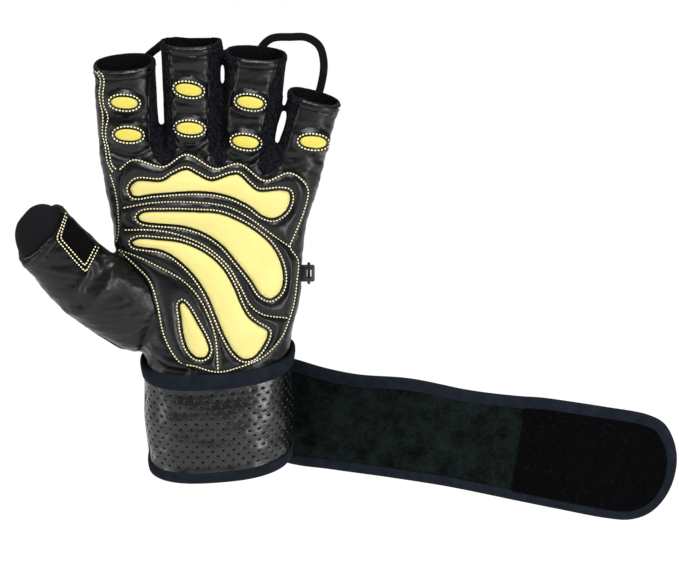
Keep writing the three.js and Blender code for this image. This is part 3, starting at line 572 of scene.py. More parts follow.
THUMB_SEAMS = [
    [(66, 212), (61.4, 226.4), (57.2, 236.4), (57.2, 240), (62.9, 246.4), (74.3, 260), (85.7, 272),
     (91.4, 262), (99, 246.5)],
    [(67, 216), (63.5, 227), (60.7, 235.5), (61.3, 239.3), (71.4, 250.5), (85, 266), (88.6, 259.5),
     (96, 245.5)],
]
outer_seam = through(pixels(OUTER_SEAM))
edge_seam = through(pixels(EDGE_SEAM))
quilt_seams = [through(pixels(run)) for run in QUILT_SEAMS]
overlay_seams = [(outer_seam, False)] + [(run, False) for run in quilt_seams]
overlay_seams += [(run, True) for run in window_seams.values()]

# %% Where the leather of the sleeves ends and the knit strips begin
KNIT_STRIPS = {
    "fourchette_index_middle": [
        (151, 20), (150, 70), (149, 100), (150, 140), (154, 157), (165, 166), (176, 152), (174, 132),
        (172, 106), (170, 80), (168, 53), (167, 20),
    ],
    "fourchette_middle_ring": [
        (212, 10), (210, 50), (209, 100), (208, 135), (212, 155), (219.5, 168), (227, 158), (225, 144),
        (225, 120), (229, 100), (234, 80), (237, 62), (241, 20),
    ],
    "fourchette_ring_little": [
        (284, 20), (277, 68), (271, 85), (268, 100), (263, 124), (259, 150), (262.5, 175), (271, 172),
        (281, 158), (288, 140), (294, 120), (299, 104), (311, 60),
    ],
}
strip_edges = {name: through(pixels(run)) for name, run in KNIT_STRIPS.items()}

# %% [markdown]
# ## Folds, pillows and hems
# Worn leather isn't smooth. The outer form is pushed in and out along its normals: an oval pillow
# under each finger pad, a deep crease below it, soft wrinkles across the finger sleeves and the root
# of the thumb sleeve, a dip along each seam, and a turned hem round each opening. Loops are cut
# parallel to each opening first, so that a hem is crisp. No fold goes through the leather: its depth
# stops short of the inner form.

# %% Rims of the openings
# depths under each rim where a loop is cut
HEM_LEVELS = (0.25, 0.7, 1.3, 2.4, 2.9, 3.3, 3.8, 4.6)


def rim_planes():
    """For each opening: a point of its rim, the rim's rise, the limb's lean as an angle, and its root."""
    rims = {}
    for name, root_x, root_z, lean, reach, rise, _ in FINGERS:
        angle, root = math.radians(lean), root_of(root_x, root_z)
        reach_out = limb_directions(angle)[0] * reach * FINGER_LENGTH
        rims[name] = (root + reach_out + np.array([0, -FINGER_DEPTH / 2, 0]), rise, angle, root)
    angle, root = math.radians(THUMB_LEAN), root_of(*THUMB_ROOT)
    reach_out = limb_directions(angle)[0] * THUMB_LENGTH
    forward = np.array([0, -THUMB_FORWARD * THUMB_DEPTH, 0])
    rims["thumb"] = (root + reach_out + forward, THUMB_RISE, angle, root)
    return rims


def rim_normal(rise, angle):
    """The normal of a rim's plane, out of the opening."""
    tilt = math.atan(rise)
    return limb_directions(angle)[0] * math.cos(tilt) - np.array([0, math.sin(tilt), 0])


RIMS = rim_planes()
# half the width across each limb that belongs to it, the depth that counts as near a rim, and the
# greatest x of the thumb's opening
LIMB_REACH = {"index": 16, "middle": 15.4, "ring": 15.6, "little": 14.6, "thumb": 22}
RIM_ZONE, THUMB_ZONE = 9, -55


def near_rim(points, name):
    """Depth of points under a limb's rim plane, and which of them belong to that limb."""
    point, rise, angle, root = RIMS[name]
    depth = (point - points) @ rim_normal(rise, angle)
    across = (points - root) @ limb_directions(angle)[1]
    mine = (np.abs(across) < LIMB_REACH[name]) & (np.abs(depth) < RIM_ZONE)
    if name == "thumb":
        mine &= points[:, 0] < THUMB_ZONE
    return depth, mine


def cut_hem_loops(obj):
    """Cuts edge loops round each opening at the hem's levels."""
    mesh = bmesh.new()
    mesh.from_mesh(obj.data)
    for name, (point, rise, angle, _) in RIMS.items():
        normal = rim_normal(rise, angle)
        for level in HEM_LEVELS:
            centres = np.array([f.calc_center_median()[:] for f in mesh.faces]) / MM
            depth, mine = near_rim(centres, name)
            mesh.faces.ensure_lookup_table()
            faces = [mesh.faces[i] for i in np.nonzero(mine & (np.abs(depth - level) < 2))[0]]
            around = set(faces) | {e for f in faces for e in f.edges} | {v for f in faces for v in f.verts}
            place = (point - normal * level) * MM
            bmesh.ops.bisect_plane(mesh, geom=list(around), dist=1e-6, plane_co=place, plane_no=normal)
    mesh.to_mesh(obj.data)
    mesh.free()


cut_hem_loops(outer_form)
print("outer form faces with hem loops:", len(outer_form.data.polygons))

# %% Height of the folds
PILLOW_HALF = (9.4, 6.3)
PAD_HALF = (6.35, 2.75)
PILLOW_RISE, PILLOW_GROOVE = 1.7, 0.5
CREASE_RIDGE = 0.55
SEAM_DIP, SEAM_DIP_WIDTH, STRIP_SINK = 0.55, 0.9, 0.45
SIDE_SWELL = 1.1
UNDER_QUILT = 0.25
DEEP_FOLD, DEEPEST = 0.7, 1.25


def fbm(points, size, stretch=(1, 1, 1), seed=0.0):
    """Soft noise of about -1 to 1 whose features are size millimetres wide."""
    scaled = points / (size * np.asarray(stretch, float)) + seed
    return np.array([noise.noise(Vector(p)) for p in scaled])


def flat_fbm(ab, size, stretch, seed):
    """The same noise on flat points."""
    return fbm(np.column_stack([ab, np.zeros(len(ab))]), size, stretch, seed)


def oval(ab, centre, half, turn, power=2.3):
    """1 on the rim of a turned oval, 0 at its centre."""
    angle = math.radians(turn)
    across = (ab - centre) @ np.array([math.cos(angle), math.sin(angle)])
    upward = (ab - centre) @ np.array([-math.sin(angle), math.cos(angle)])
    return (np.abs(across / half[0]) ** power + np.abs(upward / half[1]) ** power) ** (1 / power)


CREASES = [
    # run in photo pixels, depth, width
    ([(105, 262), (101, 273), (95, 284), (88, 293), (80, 303)], 1.15, 2.1),
    ([(93, 268), (92, 277), (85, 288)], 0.8, 1.5),
    ([(112, 250), (104, 251), (99, 256)], 1.0, 1.6),
    ([(111, 151), (124, 155), (139, 155), (150, 149)], 1.5, 1.3),
    ([(174, 143), (184, 149), (198, 148), (208, 141)], 1.3, 1.2),
    ([(180, 155), (190, 152), (203, 157)], 0.8, 1.3),
    ([(226, 158), (238, 162), (252, 160), (260, 152)], 1.3, 1.3),
    ([(110, 118), (128, 119.5), (148, 117)], 0.7, 1.4),
    ([(172, 111), (190, 113), (208, 110)], 0.55, 1.8),
    ([(173, 72), (190, 70), (208, 72)], 0.4, 1.8),
    ([(228, 124), (245, 125), (264, 121)], 0.55, 1.6),
    ([(296, 127), (312, 126), (331, 124)], 0.4, 2.0),
    ([(291, 158), (304, 162), (322, 160)], 0.8, 1.8),
    ([(284, 168), (300, 168), (318, 171)], 0.6, 1.5),
    ([(121.3, 178), (122, 200), (122.5, 225), (122, 247)], 0.9, 1.0),
    ([(143, 352), (152, 362), (166, 370), (184, 374)], 1.2, 1.8),
]


def fold_heights(points, normals):
    """Pillows, creases, seam dips and the index sleeve's full side, and which points are on a strip.

    Folds fade toward the back, where the normals turn away. An oval's size is 1 on its rim.
    """
    ab = picture(points)
    front = ease(-normals[:, 1], -0.15, 0.35)
    height = np.zeros(len(points))
    for _, x, z, turn in FINGER_PADS:
        size = oval(ab, shares([(x, z)])[0], PILLOW_HALF, turn)
        height += PILLOW_RISE * (1 - ease(size, 0.55, 1.02)) * front
        height -= PILLOW_GROOVE * bell(size - 1.08, 0.09) * ease(size, 1.9, 1.2) * front
    for run, depth, width in CREASES:
        away = distance_to(ab, [(through(pixels(run)), False)])
        groove = bell(away, width) - CREASE_RIDGE * bell(away - 2.3 * width, width)
        height -= depth * groove * front
    strips = np.zeros(len(points), bool)
    for edge in strip_edges.values():
        strips |= inside(ab, edge)
    to_edge = distance_to(ab, [(edge, False) for edge in strip_edges.values()])
    on_sleeves = ease(points[:, 2], 118, 126)
    height -= SEAM_DIP * bell(to_edge, SEAM_DIP_WIDTH) * front * on_sleeves
    height -= STRIP_SINK * strips * front
    index_side = (ab[:, 0] < -48) * ease(-normals[:, 0], 0.2, 0.8)
    height += SIDE_SWELL * index_side * ease(ab[:, 1], 138, 150) * ease(ab[:, 1], 186, 174)
    return height, strips


def wrinkle_heights(points, normals, strips):
    """Noise in four layers of size, stretch and seed, quieter on the sides and on the knit strips."""
    broad = fbm(points, 9, (1.6, 1.2, 0.7), 3.1) * 0.55
    across = fbm(points, 3.4, (2.6, 1.5, 0.7), 7.7) * 0.3
    folds = -np.abs(fbm(points, 6.5, (2.2, 1.3, 0.8), 11.3)) * 0.55 + 0.1
    fine = -np.abs(fbm(points, 3.1, (2.4, 1.4, 0.8), 21.7)) * 0.26 + 0.05
    quiet = 1 - 0.45 * ease(np.abs(normals[:, 0]), 0.75, 1)
    return (broad * quiet + across * quiet + folds * quiet + fine) * (1 - 0.7 * strips)


form_points, form_normals = points_of(outer_form), normals_of(outer_form)
fold, on_strip = fold_heights(form_points, form_normals)
# no fold is deeper than DEEPEST: below DEEP_FOLD the depth only creeps toward it
lift = fold + wrinkle_heights(form_points, form_normals, on_strip)
under_overlay = inside(picture(form_points), overlay_edge) & (form_normals[:, 1] < 0)
lift[under_overlay] = -UNDER_QUILT
past = np.maximum(-DEEP_FOLD - lift, 0)
lift = np.maximum(lift, -DEEP_FOLD) - (DEEPEST - DEEP_FOLD) * (1 - np.exp(-past / (DEEPEST - DEEP_FOLD)))

# %% Turned hems
LEAST_WALL, SHALLOW = 0.45, -0.25
# depth under the rim, height
HEM_PROFILE = np.array([
    (-1, -0.7), (0, -0.6), (0.25, -0.05), (0.7, 0.3), (1.3, 0.4), (2.4, 0.38), (2.9, 0.1), (3.3, -0.18),
    (3.8, 0.1), (4.6, 0),
])
for limb_name in RIMS:
    rim_depth, of_limb = near_rim(form_points, limb_name)
    lift = lift + np.where(of_limb, np.interp(rim_depth, *HEM_PROFILE.T), 0)
inner_surface = surface_of(inner_form)
for k in np.nonzero(lift < SHALLOW)[0]:
    below = inner_surface.ray_cast(Vector(form_points[k]), Vector(-form_normals[k]), 4)
    if below[0] is not None:
        lift[k] = max(lift[k], LEAST_WALL - below[3])
move_points(outer_form, form_points + form_normals * lift[:, None])
fold_surface = surface_of(outer_form)
print("folds, mm:", round(float(lift.min()), 2), "to", round(float(lift.max()), 2))

# %% [markdown]
# ## Leather and knit panels
# The real glove is cut from flat panels. Here the wall between the outer and the inner form is one
# closed shell, and each panel is what a cutting shape leaves of it, as a die does. The cutters are
# prisms of the seam lines along the camera's rays, a box over each opening, and one below the cuff's lap.

# %% The whole wall, open at the cuff and at each sleeve
CUFF_HEIGHT, CUFF_TILT, CUFF_ROLL, CUFF_LAP = 51.3, 16, 4.3, 11
FAR = 400
RIM_BOX, THUMB_BOX_EXTRA = (90, 60), 20
cuff_turn = Matrix.Rotation(math.radians(-CUFF_ROLL), 4, "Y")
cuff_turn = cuff_turn @ Matrix.Rotation(math.radians(CUFF_TILT), 4, "X")
wall = copy_of(outer_form, "wall")
cut(wall, inner_form)
lap_place = Matrix.Translation((0, 0, CUFF_HEIGHT - CUFF_LAP)) @ cuff_turn
lap_place = lap_place @ Matrix.Translation((0, 0, -FAR))
cut(wall, box("below_lap", (FAR, FAR, FAR), lap_place))
for limb_name, (rim_point, rim_rise, rim_angle, _) in RIMS.items():
    turn = Matrix.Rotation(rim_angle, 4, "Y") @ Matrix.Rotation(math.atan(rim_rise), 4, "X")
    width = 2 * LIMB_REACH[limb_name] + (THUMB_BOX_EXTRA if limb_name == "thumb" else 0)
    cut(wall, box("over_" + limb_name, (width, *RIM_BOX), Matrix.Translation(Vector(rim_point)) @ turn))
print("wall faces:", len(wall.data.polygons))

# %% Panels cut from the wall
WIDE = 260
EVERYWHERE = np.array([(-WIDE, -WIDE), (WIDE, -WIDE), (WIDE, WIDE), (-WIDE, WIDE)])
# how far back the knit strips and the tool that clears the leather for them reach, the clearance
# round a piece, and that between front and back
STRIP_BACK, STRIP_TOOL_BACK, PIECE_CLEAR, HALF_CLEAR = 5.1, 30, 0.12, 0.01


def strip_loop(name):
    """A knit strip's outline at even steps."""
    return even(strip_edges[name], 1.5)


front_panel = copy_of(wall, "front_leather")
cut(front_panel, ray_prism("front_half", EVERYWHERE, -BEHIND, -HALF_CLEAR), "INTERSECT")
for strip_name in KNIT_STRIPS:
    cut(front_panel, ray_prism("strip_tool", strip_loop(strip_name), IN_FRONT, STRIP_TOOL_BACK))
print("front leather faces:", len(front_panel.data.polygons))

fourchettes = {}
for strip_name in KNIT_STRIPS:
    wide_loop = strip_loop(strip_name)
    narrow = wide_loop - outward(wide_loop) * PIECE_CLEAR
    fourchettes[strip_name] = copy_of(wall, strip_name.replace("fourchette", "knit"))
    cut(fourchettes[strip_name], ray_prism("strip_tool", narrow, IN_FRONT, STRIP_BACK), "INTERSECT")

back_panel = copy_of(wall, "back_knit")
cut(back_panel, ray_prism("back_half", EVERYWHERE, 0, BEHIND), "INTERSECT")
for strip_name in KNIT_STRIPS:
    cut(back_panel, ray_prism("strip_tool", strip_loop(strip_name), IN_FRONT, STRIP_BACK))
bpy.data.objects.remove(wall)
print("back knit faces:", len(back_panel.data.polygons))

# the edge of the thumb's leather on the glove's back, which the knit leaves free
THUMB_LINE_BACK = [
    (-0.582, 0.97), (-0.568, 0.8), (-0.52, 0.715), (-0.42, 0.58), (-0.34, 0.45), (-0.3, 0.1),
]


def thumb_region(shift):
    """The part of the picture on the thumb's side of the line on the back."""
    edge = shares(THUMB_LINE_BACK) + np.array([shift, 0])
    far = [(-WIDE, edge[-1, 1]), (-WIDE, edge[0, 1])]
    return np.vstack([edge, far])


thumb_back = copy_of(back_panel, "thumb_back_leather")
cut(thumb_back, ray_prism("thumb_tool", thumb_region(0), IN_FRONT, BEHIND), "INTERSECT")
cut(back_panel, ray_prism("thumb_tool", thumb_region(GAP), IN_FRONT, BEHIND))
print("thumb back faces:", len(thumb_back.data.polygons))

# %% [markdown]
# ## Padded patches
# A quilted layer is foam under leather, sewn down along its seams. Each patch is filled with small
# triangles inside its outline, with rings along the edge, laid on the leather and then raised by a
# height that depends on the distance to the nearest seam. Its floor lies close to the leather below, or
# a little inside it.

# %% Fill an outline
RING_DEPTHS, RING_SLACK = (0.3, 0.75, 1.3), 0.93
# shares of the spacing: between rows, clear of the rings, and how near two points become one
ROW_SHARE, CLEAR_SHARE, MERGE_SHARE = 0.87, 0.45, 0.4


def within(points, edges):
    """Which flat points lie inside the first loop and outside the others."""
    good = inside(points, edges[0])
    for edge in edges[1:]:
        good &= ~inside(points, edge)
    return good


def sides_of(faces):
    """The three directed sides of each triangle."""
    return np.vstack([faces[:, [0, 1]], faces[:, [1, 2]], faces[:, [2, 0]]])


def flat_patch(loop, holes, spacing):
    """Points and triangles that fill a flat loop less its holes."""
    edges = [even(run, spacing, closed=True) for run in [loop, *holes]]
    runs = [(edge, True) for edge in edges]
    found = []
    for index, edge in enumerate(edges):
        inward = outward(edge) * (1 if index else -1)
        found += [edge + inward * depth for depth in RING_DEPTHS]
    low, high = loop.min(0), loop.max(0)
    across = np.arange(low[0], high[0], spacing)
    upward = np.arange(low[1], high[1], spacing * ROW_SHARE)
    grid = np.stack(np.meshgrid(across, upward), -1)
    grid[1::2, :, 0] += spacing / 2
    rings = np.vstack(found)
    ring_sizes = np.repeat([len(edge) for edge in edges], len(RING_DEPTHS))
    depths = np.repeat(np.tile(RING_DEPTHS, len(edges)), ring_sizes)
    rings = rings[distance_to(rings, runs) > depths * RING_SLACK]
    grid = grid.reshape(-1, 2)
    grid = grid[inside(grid, edges[0])]
    grid = grid[distance_to(grid, runs) > RING_DEPTHS[-1] + CLEAR_SHARE * spacing]
    inner = np.vstack([rings, grid])
    inner = inner[within(inner, edges)]
    cells = np.round(inner / (MERGE_SHARE * spacing)).astype(int)
    keys = np.unique(cells, axis=0, return_index=True)[1]
    points = np.vstack(edges + [inner[np.sort(keys)]])
    sides, start = [], 0
    for edge in edges:
        count = len(edge)
        sides += [(start + i, start + (i + 1) % count) for i in range(count)]
        start += count
    flat, _, faces, *_ = delaunay_2d_cdt([Vector(p) for p in points], sides, [], 1, 1e-6)
    flat = np.array([v[:] for v in flat])
    faces = np.array([f for f in faces if len(f) == 3])
    faces = faces[within(flat[faces].mean(1), edges)]
    a, b, c = flat[faces[:, 0]], flat[faces[:, 1]], flat[faces[:, 2]]
    turn = (b[:, 0] - a[:, 0]) * (c[:, 1] - a[:, 1]) - (b[:, 1] - a[:, 1]) * (c[:, 0] - a[:, 0])
    faces[turn < 0] = faces[turn < 0][:, ::-1]
    return flat, faces[np.abs(turn) > 1e-7]


def relax(values, faces, times):
    """Averages each point's values with its neighbours'."""
    links = np.vstack([sides_of(faces), sides_of(faces)[:, ::-1]])
    count = np.bincount(links[:, 0], minlength=len(values))[:, None]
    for _ in range(times):
        total = np.zeros_like(values)
        for k in range(values.shape[1]):
            total[:, k] = np.bincount(links[:, 0], values[links[:, 1], k], len(values))
        values = 0.5 * values + 0.5 * total / np.maximum(count, 1)
    return values


def face_normals_at_points(points, faces):
    """Smooth unit normals of a triangle mesh."""
    a, b, c = points[faces[:, 0]], points[faces[:, 1]], points[faces[:, 2]]
    flat = np.cross(b - a, c - a)
    total = np.zeros_like(points)
    for corner in range(3):
        for k in range(3):
            total[:, k] += np.bincount(faces[:, corner], flat[:, k], len(points))
    return unit(total)


# %% Lay a patch on the leather and close it
NORMAL_MELT, AIM_ROUNDS, AIM_STEP = 12, 3, 0.9


def on_leather(ab, surface):
    """Where the camera's rays through picture points meet a surface, or come nearest to it."""
    found = []
    eye = Vector(EYE)
    for ray in aim(ab):
        place = surface.ray_cast(eye, Vector(ray))[0]
        if place is None:
            reach = -EYE[1] / ray[1]
            place = surface.find_nearest(Vector(EYE + ray * reach))[0]
        found.append(place[:])
    return np.array(found)


def closed_patch(name, flat, faces, top, floor):
    """A closed solid from a top sheet, a floor sheet and walls along every open edge."""
    count = len(flat)
    known = {tuple(side) for side in sides_of(faces).tolist()}
    open_sides = [(i, j) for i, j in known if (j, i) not in known]
    walls = [(j, i, i + count, j + count) for i, j in open_sides]
    used = np.unique(faces)
    sheets = [*faces.tolist(), *(faces[:, ::-1] + count).tolist()]
    piece = new_piece(name, np.vstack([top, floor]), sheets + walls)
    if len(used) < count:
        edit_whole(piece)
        bpy.ops.mesh.delete_loose()
        bpy.ops.object.mode_set(mode="OBJECT")
    return piece


def laid_patch(name, loop, holes, spacing, height, floor, surface, melt=8):
    """A padded patch: its outline as seen in the picture, its height from a function of its points.

    The raised sheet looks shifted in the picture, so its points are aimed again a few times.
    """
    flat, faces = flat_patch(loop, holes, spacing)
    raised = height(flat)
    aimed = flat
    for _ in range(AIM_ROUNDS):
        base = relax(on_leather(aimed, surface), faces, melt)
        normals = unit(relax(face_normals_at_points(base, faces), faces, NORMAL_MELT))
        top = base + normals * raised[:, None]
        aimed = aimed + (flat - picture(top)) * AIM_STEP
    piece = closed_patch(name, flat, faces, top, base + normals * floor)
    soften(piece)
    print(name, "faces:", len(piece.data.polygons))
    return piece


# %% The quilted palm layer
SEAM_LEVEL, PUFF = 0.95, 2.0
PATCH_MESH, PATCH_FLOOR = 0.62, 0.12


def overlay_height(ab):
    """Height of the quilt: low at each seam, rounded at each edge, puckered and soft between."""
    to_seam = distance_to(ab, overlay_seams)
    to_window = distance_to(ab, [(edge, True) for edge in window_edges.values()])
    to_outline = distance_to(ab, [(overlay_edge, True)])
    puff = PUFF * (1 - np.exp(-((to_seam / 2.0) ** 1.35)))
    puff *= 0.45 + 0.55 * ease(to_window, WINDOW_SEAM - 0.3, WINDOW_SEAM + 0.6)
    round_edge = 0.5 * bell(to_outline, 0.35) + 0.35 * bell(to_window, 0.4)
    pucker = flat_fbm(ab, 1.7, (1, 1, 1), 5.5) * 0.16 * np.exp(-to_seam / 1.6)
    soft = flat_fbm(ab, 7, (1.4, 1, 1), 2.2) * 0.22 + flat_fbm(ab, 3, (1, 1, 1), 9.1) * 0.08
    return SEAM_LEVEL + puff - round_edge + pucker + soft * ease(to_seam, 0.3, 2.5)


overlay_holes = [even(edge, 0.7, closed=True) for edge in window_edges.values()]
overlay_holes = [edge + outward(edge) * PIECE_CLEAR for edge in overlay_holes]
palm_quilt = laid_patch("palm_quilt", overlay_edge, overlay_holes, PATCH_MESH, overlay_height,
                        PATCH_FLOOR, plain_surface)

# %% The yellow inlays
INLAY_EDGE, INLAY_PUFF, INLAY_CROWN = 0.75, 1.55, 0.55


def crowned(edge):
    """The height function of an inlay that swells from its edge."""
    def height(ab):
        depth = distance_to(ab, [(edge, True)])
        ripple = flat_fbm(ab, 5, (1.5, 1, 1), 4.4) * 0.1 + flat_fbm(ab, 1.8, (1, 1, 1), 6.1) * 0.04
        return (INLAY_EDGE + INLAY_PUFF * (1 - np.exp(-((depth / 0.95) ** 1.3)))
                + INLAY_CROWN * ease(depth, 1, 7) + ripple * ease(depth, 0.5, 2))
    return height


inlays = {}
for window_name, window_edge in window_edges.items():
    snug = even(window_edge, 0.7, closed=True)
    snug = snug - outward(snug) * PIECE_CLEAR
    inlays[window_name] = laid_patch("yellow_" + window_name[6:], snug, [], PATCH_MESH, crowned(snug),
                                     PATCH_FLOOR, plain_surface)


# %% The yellow finger pads on their pillows
def pad_loop(centre, half, turn, count=64):
    """A turned oval, a little squarer than an ellipse."""
    angle = np.linspace(0, 2 * np.pi, count, endpoint=False)
    spread = np.stack([squared(np.cos(angle), 0.92) * half[0], squared(np.sin(angle), 0.92) * half[1]], 1)
    c, s = math.cos(math.radians(turn)), math.sin(math.radians(turn))
    return spread @ np.array([[c, s], [-s, c]]) + centre


PAD_SEAM, PAD_EDGE, PAD_CROWN = 1.15, 0.12, 0.62
PAD_MESH, PAD_FLOOR = 0.5, -0.7
pads, pad_seams = {}, []
for pad_name, pad_x, pad_z, pad_turn in FINGER_PADS:
    pad_centre = shares([(pad_x, pad_z)])[0]
    pad_edge = pad_loop(pad_centre, PAD_HALF, pad_turn)
    pad_seams.append(pad_loop(pad_centre, (PAD_HALF[0] + PAD_SEAM, PAD_HALF[1] + PAD_SEAM), pad_turn))

    def pad_height(ab, centre=pad_centre, turn=pad_turn):
        size = oval(ab, centre, PAD_HALF, turn, 2.1)
        return PAD_EDGE + PAD_CROWN * (1 - np.clip(size, 0, 1) ** 3.2)

    pads[pad_name] = laid_patch("yellow_" + pad_name, pad_edge, [], PAD_MESH, pad_height, PAD_FLOOR,
                                fold_surface, melt=5)

# %% The suede patch on the thumb
THUMB_PATCH_EDGE = [
    (64.5, 207), (58.2, 226), (54.6, 240), (70, 257), (85.9, 276.2), (93, 262), (100.2, 250),
    (92.5, 241), (83, 228.5), (74, 217),
]
SUEDE_EDGE, SUEDE_SWELL, SUEDE_MESH, SUEDE_FLOOR = 0.35, 0.5, 0.6, -0.5
patch_edge = even(pixels(THUMB_PATCH_EDGE), SUEDE_MESH, closed=True)


def patch_height(ab):
    """Height of the suede, thin and even, with a rounded edge."""
    depth = distance_to(ab, [(patch_edge, True)])
    return SUEDE_EDGE + SUEDE_SWELL * (1 - np.exp(-((depth / 0.5) ** 1.4)))


suede_patch = laid_patch("suede_thumb_patch", patch_edge, [], SUEDE_MESH, patch_height, SUEDE_FLOOR,
                         fold_surface, melt=4)

# %% [markdown]
# ## Stitches
# Thick yellow thread is the glove's drawing. One stitch is a short flattened bead that dips at both
# ends, where the needle went in. It is modelled once and copied along every seam line at the real
# pitch, lying on whatever surface the camera's ray meets there.

# %% One stitch, copied along seams
STITCH_PITCH, STITCH_LENGTH, STITCH_WIDTH, STITCH_HEIGHT = 1.5, 1.12, 0.68, 0.5


def stitch_shape():
    """Points and faces of one stitch: a flattened bead bent down at both ends."""
    bpy.ops.object.select_all(action="DESELECT")
    bpy.ops.mesh.primitive_uv_sphere_add(segments=8, ring_count=6, radius=0.5)
    bead = bpy.context.object
    bead.rotation_euler = (0, math.radians(90), 0)
    bpy.ops.object.transform_apply(location=False, rotation=True, scale=True)
    points = np.array([v.co[:] for v in bead.data.vertices])
    points = squared(points * 2, 0.8) / 2 * np.array([STITCH_LENGTH, STITCH_WIDTH, STITCH_HEIGHT])
    points[:, 2] -= 0.55 * STITCH_HEIGHT * (2 * points[:, 0] / STITCH_LENGTH) ** 2
    faces = [tuple(f.vertices) for f in bead.data.polygons]
    bpy.data.objects.remove(bead)
    return points, faces


STITCH_POINTS, STITCH_FACES = stitch_shape()


def stitched(name, beads):
    """One piece of many stitches, each (middle, its three axes as rows, scale)."""
    points = [STITCH_POINTS * scale @ axes + middle for middle, axes, scale in beads]
    starts = [index * len(STITCH_POINTS) for index in range(len(beads))]
    faces = [[start + corner for corner in face] for start in starts for face in STITCH_FACES]
    print(name, "stitches:", len(beads))
    return new_piece(name, np.vstack(points), faces)


def sew(name, runs, surfaces, pitch=STITCH_PITCH, scale=1.0, lift=0.1):
    """Stitches along runs of picture points, each (points, closed), on the first surface met."""
    beads = []
    eye = Vector(EYE)
    for run, closed in runs:
        spots = even(run, pitch, closed)
        if not closed:
            spots = (spots[1:] + spots[:-1]) / 2
        placed = []
        for ray in aim(spots):
            hits = [s.ray_cast(eye, Vector(ray)) for s in surfaces]
            hits = [h for h in hits if h[0] is not None]
            placed.append(min(hits, key=lambda h: h[3]) if hits else None)
        for index, hit in enumerate(placed):
            before, after = placed[index - 1], placed[(index + 1) % len(placed)]
            if not closed:
                before = before if index > 0 else hit
                after = after if index < len(placed) - 1 else hit
            if None in (hit, before, after):
                continue
            along = after[0] - before[0]
            if along.length < 1e-6 or along.length > 5 * pitch:
                continue
            normal = plain_surface.find_nearest(hit[0])[1]
            normal = normal if normal.y < 0.3 else hit[1]
            along = (along - normal * along.dot(normal)).normalized()
            axes = np.array([along[:], normal.cross(along)[:], normal[:]])
            beads.append((np.array((hit[0] + normal * lift)[:]), axes, scale))
    piece = stitched(name, beads)
    soften(piece)
    return piece


palm_stitches = sew("palm_stitches", overlay_seams, [surface_of(palm_quilt), fold_surface])
pad_stitches = sew("pad_stitches", [(run, True) for run in pad_seams], [fold_surface], pitch=1.62)
edge_runs = [(edge_seam, False)]
edge_runs += [(through(pixels(run)), False) for run in INDEX_SEAMS]
edge_runs += [(even(pixels(run), 0.5), False) for run in THUMB_SEAMS]
edge_surfaces = [fold_surface, surface_of(suede_patch)]
edge_stitches = sew("edge_stitches", edge_runs, edge_surfaces, pitch=1.45, scale=0.9)


# %% Black stitches of the hems, and overlock stitches over two back rims
def on_rim(limb_name, depth, degrees):
    """Points and normals of the leather at a depth under a rim, at degrees round the limb."""
    rim_point, rise, angle, root = RIMS[limb_name]
    normal = rim_normal(rise, angle)
    along, side = limb_directions(angle)
    start = root + (np.array([0, rim_point[1], 0]) if limb_name == "thumb" else 0)
    middle = start + along * ((rim_point - normal * depth - start) @ normal / (along @ normal))
    found = []
    for turn in np.radians(degrees):
        ray = side * math.cos(turn) + np.array([0, 1, 0]) * math.sin(turn)
        ray = ray - normal * (ray @ normal)
        hit = fold_surface.ray_cast(Vector(middle), Vector(ray).normalized())
        if hit[0] is not None:
            found.append((np.array(hit[0][:]), np.array(hit[1][:])))
    return found


def bead_rows(name, rows, scale=1.0, lift=0.08):
    """Stitches along rows of (point, normal), lengthwise."""
    beads = []
    for row in rows:
        for (here, normal), (after, _) in zip(row, row[1:]):
            along = unit(after - here)
            side = unit(np.cross(normal, along))
            axes = np.array([along, side, np.cross(along, side)])
            beads.append(((here + after) / 2 + normal * lift, axes, scale))
    piece = stitched(name, beads)
    soften(piece)
    return piece


HEM_STITCH_DEGREES, HEM_STITCH_DEPTH = np.arange(-172, -7, 8.5), 2.5
hem_rows = [on_rim(limb_name, HEM_STITCH_DEPTH, HEM_STITCH_DEGREES) for limb_name in RIMS]
hem_stitches = bead_rows("hem_stitches", hem_rows, 0.85)


def overlock(limb_name, degrees):
    """Short stitches that wrap over a rim."""
    outer = on_rim(limb_name, 1.6, degrees)
    edge = on_rim(limb_name, 0.35, degrees + 3)
    return [[low, (high[0], low[1])] for low, high in zip(outer, edge)]


rim_rows = overlock("index", np.arange(168, 214, 6.0)) + overlock("little", np.arange(-22, 10, 6.0))
rim_overlock = bead_rows("rim_overlock", rim_rows, 0.95)


# %% Welts along the side seams
def seam_line(run, y):
    """The leather's points nearest to a run of photo pixels at a depth y, smoothed."""
    rays = aim(even(pixels(run), 0.9))
    reach = (y - EYE[1]) / rays[:, 1]
    line = np.array([fold_surface.find_nearest(Vector(EYE + ray * r))[0][:] for ray, r in zip(rays, reach)])
    for _ in range(4):
        line[1:-1] = (line[:-2] + 2 * line[1:-1] + line[2:]) / 4
    return line


def tube_faces(first, stations, corners, capped=False):
    """Faces of a tube whose points run station by station, the first at index first."""
    faces = []
    for low in range(first, first + (stations - 1) * corners, corners):
        high = low + corners
        faces += [(low + c, low + (c + 1) % corners, high + (c + 1) % corners, high + c)
                  for c in range(corners)]
    if capped:
        last = first + (stations - 1) * corners
        faces += [range(first, first + corners)[::-1], range(last, last + corners)]
    return faces


